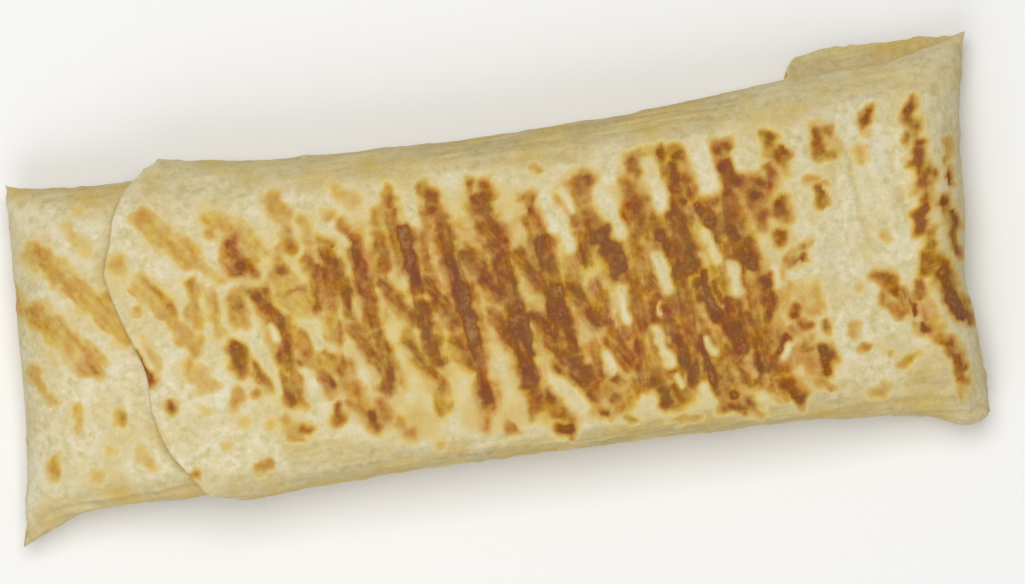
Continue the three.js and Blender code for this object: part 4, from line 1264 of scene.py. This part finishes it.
points, faces = raised_tube(roll_rings, relief)
roll = smooth_piece("filled_roll_crust", points, faces, {
    "browning": heat.ravel(),
    "upright_bar": upright.ravel(),
    "slanting_bar": slant.ravel(),
    "steam": steam.ravel(),
})

# %% [markdown]
# ## Shaders written as formulas
#
# A material's nodes can be joined by hand in the shader editor. Written out in Python that becomes a long
# list of links that says little. So one small class stands for a node's output, and plus, minus and times
# between two of them add the Math nodes. A formula such as 1 - mask then reads as what it does.

# %% Wires
class Wire:
    """The output of a node, which formulas can be written with."""

    def __init__(self, tree, socket=None):
        self.tree = tree
        self.socket = socket

    def node(self, kind, settings=None, inputs=None, output=0):
        """Adds a node of that kind: its settings first, then the values or wires of its inputs."""
        node = self.tree.nodes.new(kind)
        for name, value in (settings or {}).items():
            if name == "stops":
                self.set_stops(node.color_ramp.elements, value)
            else:
                setattr(node, name, value)
        for name, value in (inputs or {}).items():
            if isinstance(value, Wire):
                self.tree.links.new(value.socket, node.inputs[name])
            else:
                node.inputs[name].default_value = value
        return Wire(self.tree, node.outputs[output] if node.outputs else None)

    @staticmethod
    def set_stops(elements, stops):
        """Gives a colour ramp its stops, each a place and a colour."""
        while len(elements) < len(stops):
            elements.new(0.5)
        for (place, colour), stop in zip(stops, elements):
            stop.position = place
            stop.color = colour

    def math(self, operation, first, second):
        return self.node("ShaderNodeMath", {"operation": operation}, {0: first, 1: second})

    def __add__(self, other):
        return self.math("ADD", self, other)

    __radd__ = __add__

    def __sub__(self, other):
        return self.math("SUBTRACT", self, other)

    def __rsub__(self, other):
        return self.math("SUBTRACT", other, self)

    def __mul__(self, other):
        return self.math("MULTIPLY", self, other)

    __rmul__ = __mul__

    def step(self, low, high):
        """Rises softly from 0 at low to 1 at high."""
        settings = {"interpolation_type": "SMOOTHSTEP"}
        return self.node("ShaderNodeMapRange", settings, {"Value": self, "From Min": low, "From Max": high})

    def mix(self, first, second):
        """The first colour where this wire is 0, and the second where it is 1."""
        settings = {"data_type": "RGBA", "clamp_factor": True}
        return self.node("ShaderNodeMix", settings, {"Factor": self, 6: first, 7: second}, output=2)


print("what a wire can do, beside sums:", [name for name in vars(Wire) if name[0] != "_"])

# %% [markdown]
# ## The colours of the dough
#
# Dough goes from cream through gold to deep brown as it gets hotter, and a colour ramp does the same with a
# number. The steps follow colours read off the photograph. Fried and grilled food easily comes out too
# orange: its browns are yellower than one thinks, until they are nearly burnt.

# %% Colours
def colour(red, green, blue):
    """A colour as a paint programme gives it, from 0 to 255, as the light that Blender works with."""
    light = [((c / 255 + 0.055) / 1.055) ** 2.4 if c > 10 else c / 255 / 12.92 for c in (red, green, blue)]
    return (*light, 1.0)


TOASTED = [
    (0.00, colour(214, 201, 156)),
    (0.12, colour(217, 199, 143)),
    (0.26, colour(212, 186, 117)),
    (0.40, colour(204, 168, 92)),
    (0.54, colour(192, 148, 69)),
    (0.67, colour(171, 118, 43)),
    (0.77, colour(150, 93, 28)),
    (0.86, colour(132, 77, 18)),
    (1.00, colour(124, 71, 14)),
]
BURNT = colour(158, 110, 70)  # greyer and a little lighter, where the crust is dry
GREEN_CREAM = colour(203, 196, 143)
PINK_CREAM = colour(230, 213, 180)
WHITE_CREAM = colour(222, 216, 189)
GOLD_CREAM = colour(208, 187, 130)
# The three tans colour the sides, the folds and the band beside the rim, partly as painted shade.
DULL_TAN = colour(170, 148, 92)
PALE_TAN = colour(215, 198, 144)
GOLD_TAN = colour(198, 169, 88)
SHADE = colour(144, 142, 137)  # these two darken and lighten the skin a little
FLOUR = colour(221, 219, 215)
print("deepest brown as light:", [round(value, 3) for value in TOASTED[-1][1][:3]])

# %% [markdown]
# One noise looks like a cloud, never like bread. Real dough varies at every size: grains under a
# millimetre, spots, clouds, and patches as wide as a thumb. Where a rib or the rim of the plate drew it
# out, it has streaks. So there are eight noises, and each part of the finish below takes the ones that it
# needs.

# %% Noises
ROUND_NOISES = {  # the size of the grains in millimetres, and how much detail they have
    "grain": (0.9, 2.0), "spots": (2.4, 2.0), "clouds": (5.5, 2.0), "patches": (15.0, 3.0),
}


def noise(place, size, detail, turn=None, long=1.0):
    """Noise from about -1 to 1 with grains of a size in millimetres, drawn out along a direction."""
    if turn is not None:
        straight = {"Vector": place, "Rotation": (0, 0, -math.radians(turn))}
        place = place.node("ShaderNodeMapping", {}, straight)
        place = place.node("ShaderNodeMapping", {}, {"Vector": place, "Scale": (1 / long, 1, 1)})
    inputs = {"Vector": place, "Scale": 1 / (size * MM), "Detail": detail, "Roughness": 0.55}
    return place.node("ShaderNodeTexNoise", {"noise_dimensions": "3D"}, inputs, "Fac") * 5.0 - 2.5


def crust_noises(place):
    """All the noises of the crust."""
    noises = {name: noise(place, *sizes) for name, sizes in ROUND_NOISES.items()}
    noises["leaning"] = noise(place, 4.0, 2.0, turn=60, long=1.4)
    noises["side_streaks"] = noise(place, 2.4, 3.0, turn=2, long=9.0)
    noises["upright_streaks"] = noise(place, 2.0, 3.0, turn=95, long=4.0)
    noises["slanting_streaks"] = noise(place, 2.0, 3.0, turn=125, long=4.0)
    return noises


print("round noises, from fine to coarse:", list(ROUND_NOISES))

# %% [markdown]
# Dough that the ribs didn't touch is cream, with faint greenish, pinkish and golden clouds. It is tan on its
# sides, in its folds and beside the rim, where the tan is partly painted shade. Each line below mixes one
# more tone in, with a noise as the share. That is easier to control than one ramp with many colours, because
# each tone can be made stronger or weaker by itself.

# %% Plain dough
def plain_dough(steam, noises):
    """The colour of dough that no rib has browned, with the tan and painted shade of its sides, folds and
    rim.
    """
    spots, clouds, patches = noises["spots"], noises["clouds"], noises["patches"]
    side_streaks = noises["side_streaks"]
    cream = (0.5 + 0.6 * spots).mix(GREEN_CREAM, PINK_CREAM)
    cream = (0.3 + 0.7 * clouds).mix(cream, WHITE_CREAM)
    cream = (0.22 + 0.7 * patches + 0.3 * clouds).mix(cream, GOLD_CREAM)
    tan = (0.55 + 0.6 * side_streaks).mix(DULL_TAN, PALE_TAN)
    tan = (0.2 + 0.75 * patches + 0.25 * spots).mix(tan, GOLD_TAN)
    tan_and_shade_share = steam * (0.95 + 0.4 * side_streaks) + 0.1 * patches
    return tan_and_shade_share.mix(cream, tan)


print("the cream tones as light:", [round(tone[0], 2) for tone in (GREEN_CREAM, PINK_CREAM, WHITE_CREAM)])

# %% [markdown]
# Where a rib browned it, the ramp gives the colour. The heat of the mesh has no detail finer than its
# points, so the streaks and spots are added to it first. The hottest places are greyish and dusty, because
# the crust dried out there, and the hue drifts a little to and fro, as it does on anything that was
# browned.

# %% Browned dough
def browned_dough(toast, noises):
    """The colour of dough by how much it was toasted."""
    browned = toast.node("ShaderNodeValToRGB", {"stops": TOASTED}, {"Fac": toast}, "Color")
    burnt = (toast + 0.06 * noises["grain"]).step(0.84, 1.12) * (0.45 + 0.55 * noises["clouds"])
    browned = burnt.mix(browned, BURNT)
    warm = toast.step(0.1, 0.4)
    return toast.node("ShaderNodeHueSaturation", {}, {
        "Hue": 0.5 + warm * (0.011 * noises["leaning"] + 0.008 * noises["patches"]),
        "Saturation": 1.01 + warm * 0.05 * noises["clouds"],
        "Color": browned,
    })


print("stops of the ramp from cream to brown:", len(TOASTED))

# %% [markdown]
# At last the two are joined by the heat, and a dusting of lighter and darker grains goes over both. It is
# mixed in as soft light, which leaves the hue alone. Fine unevenness that a mesh can't hold goes into a
# bump. The skin is matt, and a little less so where it was browned. Only the colour, the roughness and the
# bump change over the surface, so the finish can be baked for programmes that don't know Blender's nodes.

# %% Crust material
FINISH = {"rough": 0.8, "less_where_browned": 0.2, "highlight": 0.25}
BUMP = {"Strength": 0.5, "Distance": 0.25 * MM}
DUSTING = 0.7  # how much of the dusting is mixed in


def crust_material(name):
    """The finish of a grilled tortilla."""
    material = bpy.data.materials.new(name)
    material.use_nodes = True
    material.node_tree.nodes.clear()
    start = Wire(material.node_tree)
    heat, steam, upright, slanting = (
        start.node("ShaderNodeAttribute", {"attribute_name": field}, output="Fac")
        for field in ("browning", "steam", "upright_bar", "slanting_bar")
    )
    noises = crust_noises(start.node("ShaderNodeTexCoord", output="Object"))
    grain, spots = noises["grain"], noises["spots"]
    streaks = upright * noises["upright_streaks"] + slanting * noises["slanting_streaks"]
    frayed = 0.1 * streaks + 0.1 * spots + 0.03 * grain
    toast = 0.94 * heat + heat.step(0.04, 0.4) * frayed

    skin = toast.step(0.01, 0.2).mix(plain_dough(steam, noises), browned_dough(toast, noises))
    dusty = 0.5 + 0.2 * grain + 0.15 * spots + 0.15 * noises["clouds"] + 0.15 * noises["patches"]
    dust = dusty.mix(SHADE, FLOUR)
    dusted = start.node(
        "ShaderNodeMix",
        {"data_type": "RGBA", "blend_type": "SOFT_LIGHT", "clamp_factor": True},
        {"Factor": DUSTING, 6: skin, 7: dust},
        output=2,
    )
    height = 0.16 * grain + 0.2 * spots + 0.2 * streaks + 0.25 * steam * noises["side_streaks"]
    finish = start.node("ShaderNodeBsdfPrincipled", {}, {
        "Base Color": dusted,
        "Roughness": FINISH["rough"] - FINISH["less_where_browned"] * heat + 0.03 * grain,
        "Normal": start.node("ShaderNodeBump", {}, {**BUMP, "Height": height}, "Normal"),
        "Specular IOR Level": FINISH["highlight"],
    }, "BSDF")
    start.node("ShaderNodeOutputMaterial", {}, {"Surface": finish})
    return material


outer.data.materials.append(crust_material("outer_crust"))
roll.data.materials.append(crust_material("roll_crust"))
print("materials:", [material.name for material in bpy.data.materials])

# %% [markdown]
# ## In place of the plain solids
#
# The two pieces now stand where the frame's solids stand. Each of them is attached to the body of the frame
# that it moves with, and the solid that it stands for is hidden. A tacos doesn't move in itself, so both
# ride on the one body.

# %% Take the places of the solids
for piece, node, slot in (
    (outer, "outer_tortilla", "outer_tortilla_crust"),
    (roll, "filled_roll", "inner_tortilla_crust"),
):
    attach(piece, "root")
    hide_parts(node)
    print(piece.name, "takes the place of", node)

# %% [markdown]
# ## Table, light and camera
#
# The tacos lies on something pale and plain, so that nothing else draws the eye. A large flat sheet is
# enough. It is part of the stage and not of the tacos.

# %% Table
TABLE_HALF = 2.0  # in metres
TABLE_WHITE = colour(245, 245, 244)

table_mesh = bpy.data.meshes.new("table")
corners = [(x * TABLE_HALF, y * TABLE_HALF, 0) for x, y in ((-1, -1), (1, -1), (1, 1), (-1, 1))]
table_mesh.from_pydata(corners, [], [(0, 1, 2, 3)])
table = bpy.data.objects.new("table", table_mesh)
bpy.context.scene.collection.objects.link(table)
paper = bpy.data.materials.new("table_white")
paper.use_nodes = True
paper_finish = paper.node_tree.nodes["Principled BSDF"]
paper_finish.inputs["Base Color"].default_value = TABLE_WHITE
paper_finish.inputs["Roughness"].default_value = 0.9
table_mesh.materials.append(paper)
print("table, metres across:", 2 * TABLE_HALF)

# %% [markdown]
# The photograph has no hard shadow and hardly a highlight. So the light is a large soft window nearly
# overhead, a weaker one from the near side, and a pale room. A soft light is a square that shines, and the
# larger it is, the softer its shadows. The picture is shown without a film look, so that a colour on the
# dough stays that colour.

# %% Light
WINDOW = {"place": (-0.05, 0.4, 1.6), "size": 1.0, "power": 14.8}  # metres and watts
FILL = {"place": (-0.4, -0.9, 1.1), "size": 1.0, "power": 6.2}
LIT_PLACE = (0.0, 0.0, 0.02)
ROOM_COLOUR = (1.0, 0.99, 0.97, 1.0)
ROOM_STRENGTH = 0.35


def soft_light(name, place, size, power):
    """A square soft light that faces the roll."""
    lamp = bpy.data.lights.new(name, "AREA")
    lamp.size = size
    lamp.energy = power
    light = bpy.data.objects.new(name, lamp)
    light.location = place
    away = np.array(place) - np.array(LIT_PLACE)
    tilt = math.atan2(math.hypot(away[0], away[1]), away[2])
    light.rotation_euler = (tilt, 0, math.atan2(away[1], away[0]) + math.pi / 2)
    bpy.context.scene.collection.objects.link(light)


soft_light("window", **WINDOW)
soft_light("fill", **FILL)
world = bpy.data.worlds.new("room")
world.use_nodes = True
world.node_tree.nodes["Background"].inputs["Color"].default_value = ROOM_COLOUR
world.node_tree.nodes["Background"].inputs["Strength"].default_value = ROOM_STRENGTH
bpy.context.scene.world = world
bpy.context.scene.view_settings.view_transform = "Standard"
print("lights:", [light.name for light in bpy.data.lights])

# %% [markdown]
# The photograph looks straight down, turned so that the roll climbs eight degrees to the right. A wide lens
# close by would show the sides lean outwards. They don't in the photograph, so the lens is a long one, and
# the camera stands as far off as the scale of the photograph asks for.

# %% Camera
PHOTO_WIDTH = 1025  # pixels
MM_PER_PIXEL = 0.29
ROLL_ANGLE = 8  # degrees that the roll climbs to the right
VIEW_MIDDLE = (3.9, -0.9)  # what is in the middle of the photograph, in the roll's own millimetres
OUTLINE_HEIGHT = 15  # the height of the outline, at which the scale holds
LENS = 300

camera_data = bpy.data.cameras.new("camera")
camera_data.lens = LENS
camera = bpy.data.objects.new("camera", camera_data)
distance = PHOTO_WIDTH * MM_PER_PIXEL * LENS / camera_data.sensor_width
camera.location = (np.array([*VIEW_MIDDLE, OUTLINE_HEIGHT + distance]) + shift) * MM
camera.rotation_euler = (0, 0, -math.radians(ROLL_ANGLE))
bpy.context.scene.collection.objects.link(camera)
bpy.context.scene.camera = camera
print("camera height in millimetres:", round(distance + OUTLINE_HEIGHT))

# %% [markdown]
# A crust that is modelled on top of a plain solid may grow past it by some tenths of a millimetre, but not
# by more, or the tacos would no longer fit where the plain one fits.
